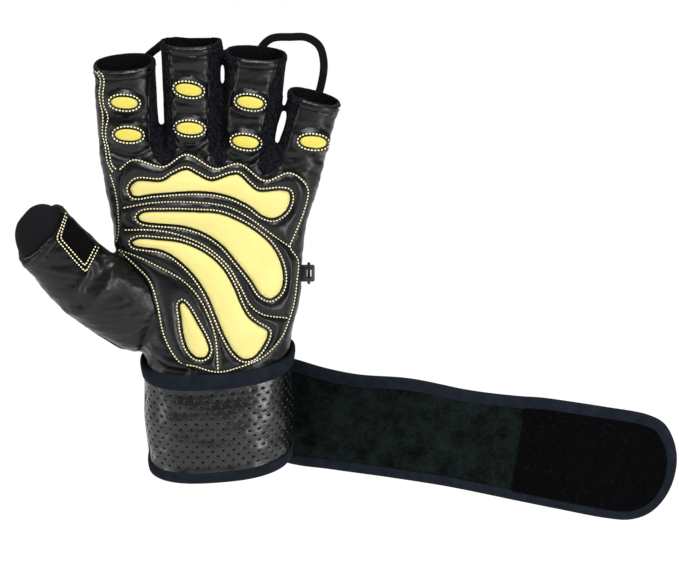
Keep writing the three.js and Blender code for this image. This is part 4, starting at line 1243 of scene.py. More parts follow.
def welt(name, lines, radius, sides=8):
    """Round piping along lines of points, half sunk into the leather."""
    points, faces = [], []
    for line in lines:
        first = len(points)
        step = unit(np.gradient(line, axis=0))
        taper = ease(np.minimum(np.arange(len(line)), np.arange(len(line))[::-1]), -1, 3)
        for here, along, size in zip(line, step, taper):
            normal = np.array(fold_surface.find_nearest(Vector(here))[1][:])
            side = unit(np.cross(along, normal))
            normal = np.cross(side, along)
            for turn in np.linspace(0, 2 * np.pi, sides, endpoint=False):
                arm = side * math.cos(turn) + normal * math.sin(turn)
                points.append(here + arm * radius * size + normal * 0.3 * radius)
        faces += tube_faces(first, len(line), sides, capped=True)
    piece = new_piece(name, points, faces)
    face_outward(piece)
    bpy.ops.object.shade_smooth()
    return piece


# photo pixels and depth y of each run: the thumb's side, its root and its rim
WELT_RUNS = [
    ([(23, 262), (30, 274), (38, 284), (47, 294), (60, 308), (73, 320), (88, 330.5), (102, 339),
      (116, 345.5), (125, 350)], -8.1),
    ([(95, 248), (100, 250), (108, 251), (117, 250)], -14),
    ([(23.5, 258.5), (30, 256.5), (37, 253), (43, 249), (48, 244), (51, 241), (53.3, 237.5)], -20),
]
WELT_RADIUS = 0.5
side_welts = welt("side_seam_welts", [seam_line(run, y) for run, y in WELT_RUNS], WELT_RADIUS)
print("welt faces:", len(side_welts.data.polygons))

# %% [markdown]
# ## Padded thumb tip
# The thumb's opening is capped in front by a soft black cover, a half dome. It is a limb like the
# others, extruded from its own sections, halved by a bisecting plane and given a wall.

# %% Thumb tip
TIP_SIDES, TIP_WALL = 48, 1.3
# along, across, size
TIP_COVER_SECTIONS = [
    (0.88, -0.036, 1), (1, 0, 1), (1.07, 0.025, 0.89), (1.13, 0.04, 0.69), (1.17, 0.045, 0.38),
    (1.178, 0.045, 0.1),
]
tip_rows = []
for along, across, size in TIP_COVER_SECTIONS:
    half_wide = size * (THUMB_WIDTH / 2 - LEATHER - GAP)
    half_deep = size * (0.96 * THUMB_DEPTH / 2 - LEATHER - GAP)
    middle = (along * THUMB_LENGTH, across * THUMB_WIDTH, -THUMB_FORWARD * THUMB_DEPTH)
    tip_rows.append((*middle, half_wide, half_deep))
thumb_tip = extruded_limb(
    "thumb_tip", through(tip_rows, fineness=4), TIP_SIDES, THUMB_LEAN, root_of(*THUMB_ROOT),
)
edit_whole(thumb_tip)
bpy.ops.mesh.bisect(
    plane_co=(0, -THUMB_FORWARD * THUMB_DEPTH * MM, 0), plane_no=(0, 1, 0), clear_outer=True, threshold=1e-6,
)
bpy.ops.object.mode_set(mode="OBJECT")
# the flat caps at both ends go: they are the only faces with many corners
trim = bmesh.new()
trim.from_mesh(thumb_tip.data)
caps = [f for f in trim.faces if len(f.verts) > 8]
bmesh.ops.delete(trim, geom=caps, context="FACES")
trim.to_mesh(thumb_tip.data)
trim.free()
apply_modifier(thumb_tip, "SOLIDIFY", thickness=TIP_WALL * MM, offset=-1)
apply_modifier(thumb_tip, "SUBSURF", levels=1, render_levels=1)
print("thumb tip faces:", len(thumb_tip.data.polygons))

# %% [markdown]
# ## Cuff
# The cuff is a band of glossy perforated leather in front and knit behind, with a folded tape sewn
# over each edge. The punched leather is a brick pattern of small tiles, each with one oval hole, that
# is wrapped round the cuff and then given its thickness. A hole ends on a flat black backing with no
# reflection, and its wall is the same black: the lining of the real cuff, and painted shade in the hole.

# %% Round the cuff
smooth_palm = through(palm_rows(), fineness=8)


def around_wrist(angle, rise, offset):
    """Points of the cuff: angle from +X toward +Y, rise over its lower edge, offset from the form."""
    u, v = squared(np.cos(angle), 2 / SQUARENESS), squared(np.sin(angle), 2 / SQUARENESS)
    height = rise + np.zeros_like(u)
    for _ in range(4):
        x0, y0, wide, deep = (np.interp(height, smooth_palm[:, 0], smooth_palm[:, k]) for k in (1, 2, 3, 4))
        x, y = x0 + u * (wide + offset), y0 + v * (deep + offset)
        height = rise + math.tan(math.radians(CUFF_TILT)) * y + math.tan(math.radians(CUFF_ROLL)) * x
    return np.stack([x, y, height], -1)


turns = np.linspace(-np.pi, np.pi, 721)
belt = around_wrist(turns, np.full(len(turns), CUFF_HEIGHT / 2), 2.0)
belt_walked = walked_along(belt)
FRONT_RUN = float(np.interp(0, turns, belt_walked))
BACK_RUN = float(belt_walked[-1] - FRONT_RUN)
print("cuff front and back, mm:", round(FRONT_RUN, 1), round(BACK_RUN, 1))


def belt_angle(run):
    """The angle at a run of millimetres round the belt from its -X side, by way of the front."""
    laps = np.floor(run / belt_walked[-1])
    return np.interp(run - laps * belt_walked[-1], belt_walked, turns) + laps * 2 * np.pi


def cuff_wrinkles(run, rise):
    """Long shallow folds round the cuff, and small dents."""
    unrolled = np.column_stack([run, rise])
    return flat_fbm(unrolled, 6, (3.2, 1, 1), 1.3) * 0.75 + flat_fbm(unrolled, 4, (1.3, 1, 1), 8.2) * 0.35


# %% Perforated leather
HOLE_PITCH, HOLE_ROW = 5.15, 2.72
TOP_TAPE, BOTTOM_TAPE, TAPE_LAP = 6.3, 4.9, 1.2
FRONT_OFFSET, FRONT_WALL, FRONT_SWELL = 1.95, 0.8, 0.8
# half width, half height and depth of a hole's lip, rim and floor
HOLE_RINGS = [(1.12, 0.66, 0.02), (0.86, 0.44, 0.16), (0.78, 0.37, 0.85)]
# a tile's rim, in quarters of its width and halves of its height
TILE_RIM = [(0, 0), (1, 0), (2, 0), (3, 0), (4, 0), (4, 1), (4, 2), (3, 2), (2, 2), (1, 2), (0, 2), (0, 1)]
CORNERS = len(TILE_RIM)

punched_height = CUFF_HEIGHT - TOP_TAPE - BOTTOM_TAPE + 2 * TAPE_LAP
tile_rows = round(punched_height / HOLE_ROW)
columns = round(FRONT_RUN / HOLE_PITCH)
tile = np.array([FRONT_RUN / columns, punched_height / tile_rows])
tile_rim = np.array(TILE_RIM) * tile / (4, 2)
spokes = unit((tile_rim - tile / 2) / tile)
tile_rings = [(tile_rim, 0)]
for half_wide, half_high, depth in HOLE_RINGS:
    tile_rings.append((tile / 2 + spokes * (half_wide, half_high), depth))

tile_points, tile_faces, hole_depths, face_marks = [], [], [], []
for row in range(tile_rows):
    punched = int(0 < row < tile_rows - 1)
    for column in range(columns - row % 2):
        corner = np.array([column + (row % 2) / 2, row]) * tile
        start = len(tile_points)
        for ring, depth in tile_rings:
            tile_points += list(ring + corner)
            hole_depths += [depth * punched] * CORNERS
        hole_floor = range(len(tile_points) - CORNERS, len(tile_points))
        tile_faces += [*tube_faces(start, len(tile_rings), CORNERS), hole_floor]
        # a hole's wall and floor take the second, flat black finish: the lining, and painted shade inside
        # the hole
        face_marks += [0] * 2 * CORNERS + [punched] * (CORNERS + 1)
    # a short row is filled up with half a tile at each end
    for left in (0, columns - 0.5) if row % 2 else ():
        start = len(tile_points)
        tile_points += [np.array([left + a / 4, row + b / 2]) * tile for b in range(3) for a in range(3)]
        hole_depths += [0] * 9
        low_corners = [start + a + 3 * b for a in range(2) for b in range(2)]
        tile_faces += [(low, low + 1, low + 4, low + 3) for low in low_corners]
        face_marks += [0] * 4
runs, rises = np.array(tile_points).T
rises = rises + BOTTOM_TAPE - TAPE_LAP
offsets = FRONT_OFFSET + cuff_wrinkles(runs, rises) * FRONT_SWELL - np.array(hole_depths)
cuff_front = new_piece("cuff_perforated", around_wrist(belt_angle(runs), rises, offsets), tile_faces)
cuff_front.data.polygons.foreach_set("material_index", face_marks)
edit_whole(cuff_front)
bpy.ops.mesh.remove_doubles(threshold=0.02 * MM)
bpy.ops.mesh.normals_make_consistent(inside=False)
bpy.ops.object.mode_set(mode="OBJECT")
apply_modifier(cuff_front, "SOLIDIFY", thickness=FRONT_WALL * MM, offset=-1)
apply_modifier(cuff_front, "SUBSURF", levels=1, render_levels=1)
print("perforated cuff:", len(cuff_front.data.polygons), "faces,", columns, "by", tile_rows, "holes")


# %% Knit back of the cuff
def wrapped_sheet(name, first, last, low, high, offset, thickness, steps):
    """A sheet round the cuff between two runs and two rises, made from a grid."""
    bpy.ops.object.select_all(action="DESELECT")
    bpy.ops.mesh.primitive_grid_add(x_subdivisions=steps[0], y_subdivisions=steps[1], size=1)
    sheet = bpy.context.object
    sheet.name = name
    flat = np.array([v.co[:] for v in sheet.data.vertices]) + 0.5
    run, height = first + flat[:, 0] * (last - first), low + flat[:, 1] * (high - low)
    swell = cuff_wrinkles(run, height) * 0.35
    move_points(sheet, around_wrist(belt_angle(run), height, offset + swell))
    face_outward(sheet)
    apply_modifier(sheet, "SOLIDIFY", thickness=thickness * MM, offset=-1)
    return sheet


KNIT_LAP, KNIT_OFFSET, KNIT_WALL, KNIT_STEPS = 0.4, 2.1, 1.6, (110, 42)
cuff_back = wrapped_sheet(
    "cuff_knit", FRONT_RUN - KNIT_LAP, FRONT_RUN + BACK_RUN + KNIT_LAP, BOTTOM_TAPE - TAPE_LAP,
    CUFF_HEIGHT - TOP_TAPE + TAPE_LAP, KNIT_OFFSET, KNIT_WALL, KNIT_STEPS,
)
print("cuff back faces:", len(cuff_back.data.polygons))


# %% Bound edges of the cuff
def swept_loop(name, rings):
    """A closed tube from a closed run of profiles: an array of stations by profile points by 3."""
    stations, corners = rings.shape[:2]
    points = rings.reshape(-1, 3)
    faces = [[index % len(points) for index in face] for face in tube_faces(0, stations + 1, corners)]
    piece = new_piece(name, points, faces)
    face_outward(piece)
    bpy.ops.object.shade_smooth()
    return piece


# offset from the form and share of the tape's height, round the folded tape
TAPE_PROFILE = np.array([
    (0.45, 0.0), (1.2, -0.05), (2.2, -0.04), (2.75, 0.04), (3.05, 0.16), (3.2, 0.34), (3.25, 0.52),
    (3.2, 0.7), (3.05, 0.85), (2.7, 0.96), (2.1, 1.02), (1.3, 1.04), (0.6, 1.0), (0.35, 0.8),
    (0.35, 0.5), (0.35, 0.2),
])


def bound_edge(name, low, height, seed):
    """A folded tape round the cuff, from a rise of low upward, a little wavy."""
    turn = np.linspace(-np.pi, np.pi, 240, endpoint=False)
    rings = []
    flat3 = np.column_stack([np.cos(turn) * 20, np.sin(turn) * 20, np.full(len(turn), seed)])
    wave = fbm(flat3, 9, (1, 1, 1), seed) * 0.3 + fbm(flat3, 3.2, (1, 1, 1), seed) * 0.15
    for offset, share in TAPE_PROFILE:
        swell = wave * (offset > 2)
        rings.append(around_wrist(turn, low + share * height + wave * 0.6, offset + swell))
    return swept_loop(name, np.stack(rings, 1))


top_tape = bound_edge("cuff_top_tape", CUFF_HEIGHT - TOP_TAPE, TOP_TAPE, 2.7)
bottom_tape = bound_edge("cuff_bottom_tape", 0.1, BOTTOM_TAPE - 0.2, 6.4)

# %% Overlock stitches down the cuff's side seam
OVERLOCK_PITCH, OVERLOCK_SCALE = 1.05, np.array([1.5, 0.75, 1.1])
OVERLOCK_SIDE = np.array([-0.95, -0.3, 0])
# angles of a stitch's two ends, beside the seam at -X
seam_angles = np.array([-np.pi + 0.004, -np.pi + 0.09])
overlock_beads = []
for step in np.arange(BOTTOM_TAPE + 0.4, CUFF_HEIGHT - TOP_TAPE - 0.4, OVERLOCK_PITCH):
    here, there = around_wrist(seam_angles, step + np.array([0, 0.25]), np.array([2.25, 2.1]))
    along = unit(there - here)
    side = unit(np.cross(OVERLOCK_SIDE, along))
    axes = np.array([along, side, np.cross(along, side)])
    overlock_beads.append(((here + there) / 2 + axes[2] * 0.15, axes, OVERLOCK_SCALE))
side_overlock = stitched("cuff_side_overlock", overlock_beads)

# %% [markdown]
# ## Wrist strap
# The strap leaves the back of the cuff and swings out toward the viewer. It is a long loop-fabric band
# with a patch of hooks at the end and a folded tape sewn all round. Its outline comes from the
# picture, and each point lies on the upright surface over the strap's run seen from above.

# %% The strap's run from above
STRAP_LENGTH, BINDING_WALL, STRAP_BAND, STRAP_BINDING_WALL = 190, 2.9, 1.6, 1
STRAP_SEAT = (88, 76, 64, 52)
STRAP_RUN = [
    (0.096, 0.042), (0.228, 0.084), (0.386, 0.121), (0.544, 0.155), (0.7, 0.184), (0.86, 0.21),
    (1, 0.232),
]


def strap_plan():
    """The strap's middle line from above, as in the CAD source."""
    _, centre, _, wrist, _, wrist_deep, _ = PALM_SECTIONS[2]
    wide, deep = wrist * WRIST_WIDTH, wrist_deep * WRIST_DEPTH
    clear = BINDING_WALL + 2 * GAP + STRAP_BAND / 2 + STRAP_BINDING_WALL + GAP
    points = []
    for degrees in STRAP_SEAT:
        angle = math.radians(degrees)
        points.append((centre * PALM_WIDTH + math.cos(angle) ** (2 / SQUARENESS) * (wide + clear),
                       math.sin(angle) ** (2 / SQUARENESS) * (deep + clear)))
    last = points[-1]
    for right, forward in STRAP_RUN:
        points.append((last[0] + right * STRAP_LENGTH, last[1] - forward * STRAP_LENGTH))
    return through(points)


strap_plan_run = strap_plan()
plan_slope = np.gradient(strap_plan_run[:, 1], strap_plan_run[:, 0])


def on_strap(ab):
    """Points of the strap's middle surface seen at picture points, and its normals toward the viewer."""
    rays = aim(ab)
    x = ab[:, 0].copy()
    for _ in range(6):
        y = np.interp(x, strap_plan_run[:, 0], strap_plan_run[:, 1])
        x = EYE[0] + rays[:, 0] * (y - EYE[1]) / rays[:, 1]
    y = np.interp(x, strap_plan_run[:, 0], strap_plan_run[:, 1])
    place = EYE + rays * ((y - EYE[1]) / rays[:, 1])[:, None]
    slope = np.interp(x, strap_plan_run[:, 0], plan_slope)
    normal = unit(np.stack([slope, -np.ones_like(slope), np.zeros_like(slope)], 1))
    wave = fbm(place, 34, (1, 1, 1.6), 0.7) * 1.3 * ease(place[:, 0], 45, 80)
    return place + normal * wave[:, None], normal


STRAP_OUTLINE = [
    (226, 345), (258, 350), (291.5, 358), (326, 368), (356.5, 374), (410, 378), (471, 390), (520, 396),
    (543, 397.5), (607, 407), (649, 415), (664, 423), (673, 438), (677, 458), (673, 482), (662, 502),
    (648, 514), (630, 519.5), (607, 518), (556, 508), (480, 493), (433, 484), (372, 475), (330, 469),
    (298, 465), (262, 456), (226, 448),
]
strap_edge = even(through(pixels(STRAP_OUTLINE), closed=True, fineness=12), 1.4, closed=True)
# the tape is wider along the upper edge than along the lower one, over a middle line that sinks
middle_line = np.interp(strap_edge[:, 0], [0, 210], [29, 3])
tape_width = np.interp(strap_edge[:, 1] - middle_line, [-12, 12], [4.6, 5.7])
strap_inner = strap_edge - outward(strap_edge) * tape_width[:, None]
strap_inner = (np.roll(strap_inner, 1, 0) + strap_inner + np.roll(strap_inner, -1, 0)) / 3

# share from the inner to the outer edge, height over the middle surface
STRAP_TAPE_PROFILE = np.array([
    (0.0, 1.05), (0.03, 1.4), (0.14, 1.62), (0.4, 1.75), (0.7, 1.72), (0.88, 1.5), (0.97, 0.95), (1.0, 0.0),
    (0.97, -0.95), (0.88, -1.5), (0.7, -1.72), (0.4, -1.75), (0.14, -1.62), (0.03, -1.4), (0.0, -1.05),
])
tape_rings = []
for share, level in STRAP_TAPE_PROFILE:
    place, normal = on_strap(strap_inner + (strap_edge - strap_inner) * share)
    tape_rings.append(place + normal * level)
strap_tape = swept_loop("strap_tape", np.stack(tape_rings, 1))


def strap_layer(name, loop, spacing, low, high, puff=0.0):
    """A flat closed patch of the strap between two levels."""
    flat, faces = flat_patch(loop, [], spacing)
    place, normal = on_strap(flat)
    depth = distance_to(flat, [(loop, True)])
    level = high + puff * (1 - np.exp(-depth / 2.5)) + fbm(place, 5, (1, 1, 1), 3.3) * 0.1
    piece = closed_patch(name, flat, faces, place + normal * level[:, None], place + normal * low)
    soften(piece)
    print(name, "faces:", len(piece.data.polygons))
    return piece


FABRIC_LAP, FABRIC_MESH, FABRIC_FLOOR, FABRIC_TOP, FABRIC_PUFF = 0.5, 1.7, -0.9, 0.75, 0.5
HOOK_INSET, HOOK_MESH, HOOK_FLOOR, HOOK_TOP = 0.2, 1.3, 0.95, 1.75
fabric_edge = strap_inner + outward(strap_inner) * FABRIC_LAP
strap_fabric = strap_layer(
    "strap_loop_fabric", fabric_edge, FABRIC_MESH, FABRIC_FLOOR, FABRIC_TOP, FABRIC_PUFF,
)
# the hooks lie to the right of this line, at the strap's free end
hook_high, hook_low = pixels([(527, 400), (505.5, 505)])
reach, line = fabric_edge - hook_low, hook_high - hook_low
hook_side = reach[:, 0] * line[1] - reach[:, 1] * line[0]
hook_edge = fabric_edge - outward(fabric_edge) * HOOK_INSET
hook_edge = hook_edge[hook_side > 0]
# the run starts again where the cut leaves its widest gap, so that the line itself closes the loop
steps = np.diff(np.vstack([hook_edge, hook_edge[:1]]), axis=0)
gap_at = np.argmax(np.linalg.norm(steps, axis=1))
hook_edge = even(np.roll(hook_edge, -gap_at - 1, 0), 1.0, closed=True)
strap_hooks = strap_layer("strap_hook_tape", hook_edge, HOOK_MESH, HOOK_FLOOR, HOOK_TOP)

# %% [markdown]
# ## Small parts
# Flat elastic tapes bridge the backs of the sleeves, to pull the glove off by, and a small moulded
# clip with a pin sits on the side of the little sleeve.

# %% Pull loops
PULL_LOOPS = {
    "pull_tape_index_middle": [
        (-0.42, 1.245), (-0.37, 1.3), (-0.31, 1.335), (-0.25, 1.36), (-0.18, 1.345),
    ],
    "pull_tape_ring_little": [
        (0.193, 1.27), (0.205, 1.33), (0.26, 1.368), (0.36, 1.374), (0.44, 1.372), (0.5, 1.345),
        (0.523, 1.29), (0.51, 1.22), (0.475, 1.15),
    ],
}
TAPE_HALF_WIDTH, TAPE_HALF_THICKNESS, TAPE_STEP = 1.9, 0.6, 0.32
RIB_PITCH, RIB_DEPTH = 1.25, 0.14
pull_tapes = {}
for tape_name, run in PULL_LOOPS.items():
    line = even(through(shares(run)), TAPE_STEP)
    step = unit(np.gradient(line, axis=0))
    side = np.stack([-step[:, 1], step[:, 0]], 1)
    depth = FINGER_DEPTH / 2 + GAP + TAPE_HALF_THICKNESS
    angle = np.linspace(0, 2 * np.pi, 16, endpoint=False)
    across = squared(np.cos(angle), 0.45) * TAPE_HALF_WIDTH
    thick = squared(np.sin(angle), 0.6) * TAPE_HALF_THICKNESS
    rings = []
    for index, (spot, sideways) in enumerate(zip(line, side)):
        rib = 1 + RIB_DEPTH * math.cos(2 * math.pi * index * TAPE_STEP / RIB_PITCH)
        flat = spot + np.outer(across, sideways)
        rings.append(np.stack([flat[:, 0], depth + thick * rib, flat[:, 1]], 1))
    rings = np.array(rings)
    tape = new_piece(tape_name, rings.reshape(-1, 3), tube_faces(0, len(rings), len(angle), capped=True))
    face_outward(tape)
    bpy.ops.object.shade_smooth()
    pull_tapes[tape_name] = tape

# %% Side clip and pin
# the clip's body reaches a little way into the knit, so that it doesn't hang in the air
CLIP_REACH, CLIP_BEVEL, SLOT_SHARE, SLOT_SHIFT = 1.5, 0.9, np.array([0.3, 2, 0.5]), 0.9
PIN_RADIUS, PIN_BEVEL = 0.72, 0.3


def bevelled(piece, name, width, segments):
    """Names a new solid, applies its place and size, and rounds its edges."""
    piece.name = name
    bpy.ops.object.transform_apply(location=True, rotation=False, scale=True)
    edit_whole(piece)
    bpy.ops.mesh.bevel(offset=width * MM, segments=segments, affect="EDGES")
    bpy.ops.object.mode_set(mode="OBJECT")
    return piece


clip_low, clip_high = (np.array(corner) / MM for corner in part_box("side_clip"))
clip_low[0] -= CLIP_REACH
pin_low, pin_high = (np.array(corner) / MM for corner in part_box("side_clip_pin"))
clip_middle, clip_size = (clip_low + clip_high) / 2, clip_high - clip_low
bpy.ops.object.select_all(action="DESELECT")
bpy.ops.mesh.primitive_cube_add(size=1, location=Vector(clip_middle * MM), scale=Vector(clip_size * MM))
clip = bevelled(bpy.context.object, "clip_body", CLIP_BEVEL, 3)
slot_size = clip_size * SLOT_SHARE
slot_place = Matrix.Translation(Vector(clip_middle + np.array([SLOT_SHIFT, 0, -slot_size[2] / 2])))
cut(clip, box("clip_slot", slot_size, slot_place))
bpy.ops.object.select_all(action="DESELECT")
bpy.ops.mesh.primitive_cylinder_add(
    vertices=20, radius=PIN_RADIUS * MM, depth=(pin_high[2] - pin_low[2]) * MM,
    location=Vector((pin_low + pin_high) / 2 * MM),
)
pin = bevelled(bpy.context.object, "clip_pin", PIN_BEVEL, 2)
print("clip faces:", len(clip.data.polygons), "pin faces:", len(pin.data.polygons))

# %% [markdown]
# ## Materials
# Each finish starts from the real stuff: dyed sheep leather with a fine grain, a coated yellow
# synthetic, a looped black knit, brushed suede, pressed glossy leather, twill tape, loop and hook
# fabric, ribbed elastic and moulded plastic. Patterns read Object coordinates, which are metres here.


# %% Helpers for materials
def linear(hex_colour):
    """An sRGB hex colour as linear RGBA."""
    parts = [int(hex_colour[i:i + 2], 16) / 255 for i in (1, 3, 5)]
    return (*[c / 12.92 if c <= 0.04045 else ((c + 0.055) / 1.055) ** 2.4 for c in parts], 1)


def add(tree, kind, inputs=None, **settings):
    """Adds a node, sets its properties, and gives its inputs values or other nodes' outputs."""
    made = tree.nodes.new(kind)
    for key, value in settings.items():
        setattr(made, key, value)
    for key, value in (inputs or {}).items():
        if isinstance(value, bpy.types.NodeSocket):
            tree.links.new(value, made.inputs[key])
        else:
            made.inputs[key].default_value = value
    return made


def per_mm(size):
    """The scale of a pattern whose features are size millimetres wide, on coordinates in metres."""
    return 1 / (size * MM)


def surface(name, hex_colour, roughness, **sockets):
    """A new material with its colour and roughness, and the tree, shader and coordinates to build on."""
    material = bpy.data.materials.new(name)
    material.use_nodes = True
    tree = material.node_tree
    tree.nodes.clear()
    colour = linear(hex_colour)
    shader = add(tree, "ShaderNodeBsdfPrincipled", {"Base Color": colour, "Roughness": roughness})
    for key, value in sockets.items():
        shader.inputs[key.replace("_", " ")].default_value = value
    add(tree, "ShaderNodeOutputMaterial", {"Surface": shader.outputs[0]})
    place = add(tree, "ShaderNodeTexCoord").outputs["Object"]
    return material, tree, shader, place


def noise_at(tree, place, size, detail=2.0, roughness=0.5):
    """Soft noise whose features are size millimetres wide."""
    return add(tree, "ShaderNodeTexNoise", {
        "Vector": place, "Scale": per_mm(size), "Detail": detail, "Roughness": roughness,
    }).outputs["Fac"]


def ramp(tree, value, from_low, from_high, to_low=0, to_high=1):
    """A value's range stretched over another one, and held at its ends."""
    return add(tree, "ShaderNodeMapRange", {
        "Value": value, "From Min": from_low, "From Max": from_high, "To Min": to_low, "To Max": to_high,
    }).outputs[0]


def spread(tree, value, low, high):
    """A pattern of 0.3 to 0.7 spread over low to high."""
    return ramp(tree, value, 0.3, 0.7, low, high)


def combined(tree, operation, first, second):
    return add(tree, "ShaderNodeMath", {0: first, 1: second}, operation=operation).outputs[0]


def two_tone(tree, shader, value, dark, light):
    """Colours the shader from dark to light by a value of 0 to 1."""
    mix = add(tree, "ShaderNodeMix", {0: value, 6: linear(dark), 7: linear(light)}, data_type="RGBA")
    tree.links.new(mix.outputs[2], shader.inputs["Base Color"])


def bumps(tree, shader, layers):
    """Stacks bumps, each (height, depth in millimetres, strength)."""
    before = None
    for height, depth, strength in layers:
        inputs = {"Height": height, "Distance": depth * MM, "Strength": strength}
        if before is not None:
            inputs["Normal"] = before
        before = add(tree, "ShaderNodeBump", inputs).outputs[0]
    tree.links.new(before, shader.inputs["Normal"])


# %% Leathers
def leather(name, dark, light, rough_low, rough_high, grain, **sockets):
    """Dyed grain leather: pebbled cells under a millimetre wide, fine creases and a satin that varies."""
    material, tree, shader, place = surface(name, dark, rough_high, **sockets)
    cells = add(tree, "ShaderNodeTexVoronoi", {"Vector": place, "Scale": per_mm(0.9), "Randomness": 1.0})
    creases = noise_at(tree, place, 2.6, 4, 0.6)
    clouds = noise_at(tree, place, 14, 3)
    two_tone(tree, shader, spread(tree, clouds, 0, 1), dark, light)
    tree.links.new(spread(tree, creases, rough_low, rough_high), shader.inputs["Roughness"])
    bumps(tree, shader, [(cells.outputs["Distance"], 0.05, grain), (creases, 0.25, 0.35)])
    return material


black_leather = leather(
    "dyed_black_sheep_leather", "#060607", "#0c0d0f", 0.27, 0.44, 0.5, Specular_IOR_Level=0.3,
)
quilt_leather = leather(
    "quilted_black_leather", "#040506", "#090a0c", 0.25, 0.4, 0.4, Specular_IOR_Level=0.3,
)
gloss_leather = leather(
    "glossy_perforated_leather", "#040506", "#08090b", 0.22, 0.36, 0.35, Specular_IOR_Level=0.5,
)
yellow_leather = leather(
    "coated_yellow_leather", "#dace80", "#e0d588", 0.5, 0.62, 0.12, Specular_IOR_Level=0.2,
)
pad_leather = leather(
    "bright_yellow_leather", "#d5c656", "#dacc62", 0.5, 0.62, 0.12, Specular_IOR_Level=0.2,
)


# %% Knit, suede, tapes and hook-and-loop
def knit(name, dark, light, loop, depth):
    """Looped stretch knit: rows of small soft loops that catch little light; painted highlight on top,
    painted shade between.
    """
    material, tree, shader, place = surface(name, dark, 0.8, Specular_IOR_Level=0.12)
    bent = add(tree, "ShaderNodeTexNoise", {"Vector": place, "Scale": per_mm(2.2), "Detail": 2.0})
    bend = {0: bent.outputs["Color"], 3: 1.2 * MM}
    shifted = add(tree, "ShaderNodeVectorMath", bend, operation="SCALE").outputs[0]
    moved = add(tree, "ShaderNodeVectorMath", {0: place, 1: shifted}, operation="ADD").outputs[0]
    field = {"Vector": moved, "Scale": per_mm(loop), "Smoothness": 0.6}
    loops = add(tree, "ShaderNodeTexVoronoi", feature="SMOOTH_F1", inputs=field).outputs["Distance"]
    fuzz = noise_at(tree, place, 0.5, 3)
    # painted highlight and shade: each loop's top is coloured lighter and the gaps between loops darker
    two_tone(tree, shader, ramp(tree, loops, 0, 0.6, 1, 0), dark, light)
    raised = combined(tree, "SUBTRACT", 1.0, loops)
    bumps(tree, shader, [(raised, depth, 0.9), (fuzz, 0.2, 0.5)])
    return material


boucle_knit = knit("looped_black_knit", "#010102", "#1c1c2a", 1.3, 1.2)
back_knit_finish = knit("stretch_mesh_knit", "#030305", "#101017", 0.9, 0.45)
cover_knit = knit("brushed_black_jersey", "#0b0c0f", "#121317", 0.5, 0.12)


def fuzzy(name, dark, light, size, depth, rough=0.95, sheen=0.0):
    """Brushed pile: short fibres, a little sheen and worn patches."""
    material, tree, shader, place = surface(name, dark, rough, Sheen_Weight=sheen, Specular_IOR_Level=0.05)
    patches = noise_at(tree, place, 9, 4, 0.65)
    fibres = noise_at(tree, place, size, 5, 0.75)
    tone = ramp(tree, combined(tree, "ADD", patches, fibres), 0.8, 1.3)
    two_tone(tree, shader, tone, dark, light)
    bumps(tree, shader, [(fibres, depth, 0.8), (patches, 0.4, 0.3)])
    return material


suede = fuzzy("brushed_black_suede", "#040404", "#0e0e0e", 0.6, 0.2)
loop_fabric = fuzzy("brushed_loop_fabric", "#020303", "#182220", 1.0, 0.5)


def twill(name, dark, light, rib, depth, direction):
    """Woven tape with fine slanting ribs."""
    material, tree, shader, place = surface(name, dark, 0.85, Specular_IOR_Level=0.12)
    ribs = add(tree, "ShaderNodeTexWave", {
        "Vector": place, "Scale": per_mm(rib) / math.pi, "Distortion": 0.6, "Detail": 1.0,
    }, bands_direction=direction)
    clouds = noise_at(tree, place, 5, 3)
    two_tone(tree, shader, spread(tree, clouds, 0, 1), dark, light)
    fuzz = noise_at(tree, place, 0.4, 2)
    bumps(tree, shader, [(ribs.outputs["Fac"], depth, 0.6), (fuzz, 0.1, 0.4)])
    return material


binding = twill("folded_twill_tape", "#0c1017", "#151b25", 0.7, 0.12, "DIAGONAL")
elastic = twill("ribbed_elastic_tape", "#070707", "#101012", 0.6, 0.12, "DIAGONAL")


def hooks():
    """Moulded nylon hooks: a field of tiny stubs on a black base, with light specks as painted glints."""
    material, tree, shader, place = surface("nylon_hook_tape", "#010101", 0.8, Specular_IOR_Level=0.05)
    stubs = add(tree, "ShaderNodeTexVoronoi", {"Vector": place, "Scale": per_mm(1.3), "Randomness": 0.7})
    peak = ramp(tree, stubs.outputs["Distance"], 0, 0.35, 1, 0)
    # painted glints: random light specks in the colour stand in for light caught by the hooks
    painted_glints = ramp(tree, noise_at(tree, place, 1.1, 2, 0.8), 0.6, 0.72)
    two_tone(tree, shader, painted_glints, "#000001", "#14161d")
    bumps(tree, shader, [(peak, 0.5, 0.9)])
    return material


hook_tape = hooks()


def simple_finish(name, dark, light, roughness, size, depth, **sockets):
    """A plain moulded or spun surface with slight mottling."""
    material, tree, shader, place = surface(name, dark, roughness, **sockets)
    speckle = noise_at(tree, place, size, 3)
    two_tone(tree, shader, spread(tree, speckle, 0, 1), dark, light)
    bumps(tree, shader, [(speckle, depth, 0.5)])
    return material


plastic = simple_finish("moulded_black_plastic", "#0a0a0b", "#101012", 0.35, 1.5, 0.03)
yellow_thread = simple_finish("twisted_yellow_thread", "#f7efae", "#fef9d8", 0.6, 0.4, 0.08)
black_thread = simple_finish("twisted_black_thread", "#08080a", "#131318", 0.5, 0.4, 0.08)
# flat black with no reflection for the wall and floor of each cuff hole: the lining, and painted shade in
# the hole
hole_lining_and_shade = simple_finish(
    "black_lining_and_hole_shade", "#010101", "#020202", 1.0, 1.0, 0.02, Specular_IOR_Level=0.0,
)

# %% Dress the pieces and put them on the frame
SMOOTH, CRISP = math.radians(42), math.radians(30)


def dress(piece, material, nodes=(), smooth_angle=None):
    """Gives a piece its finish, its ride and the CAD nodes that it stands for."""
    piece.data.materials.clear()
    piece.data.materials.append(material)
    if smooth_angle is not None:
        select_only(piece)
        bpy.ops.object.shade_smooth_by_angle(angle=smooth_angle)
    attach(piece, "root")
    if nodes:
        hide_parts(*nodes)


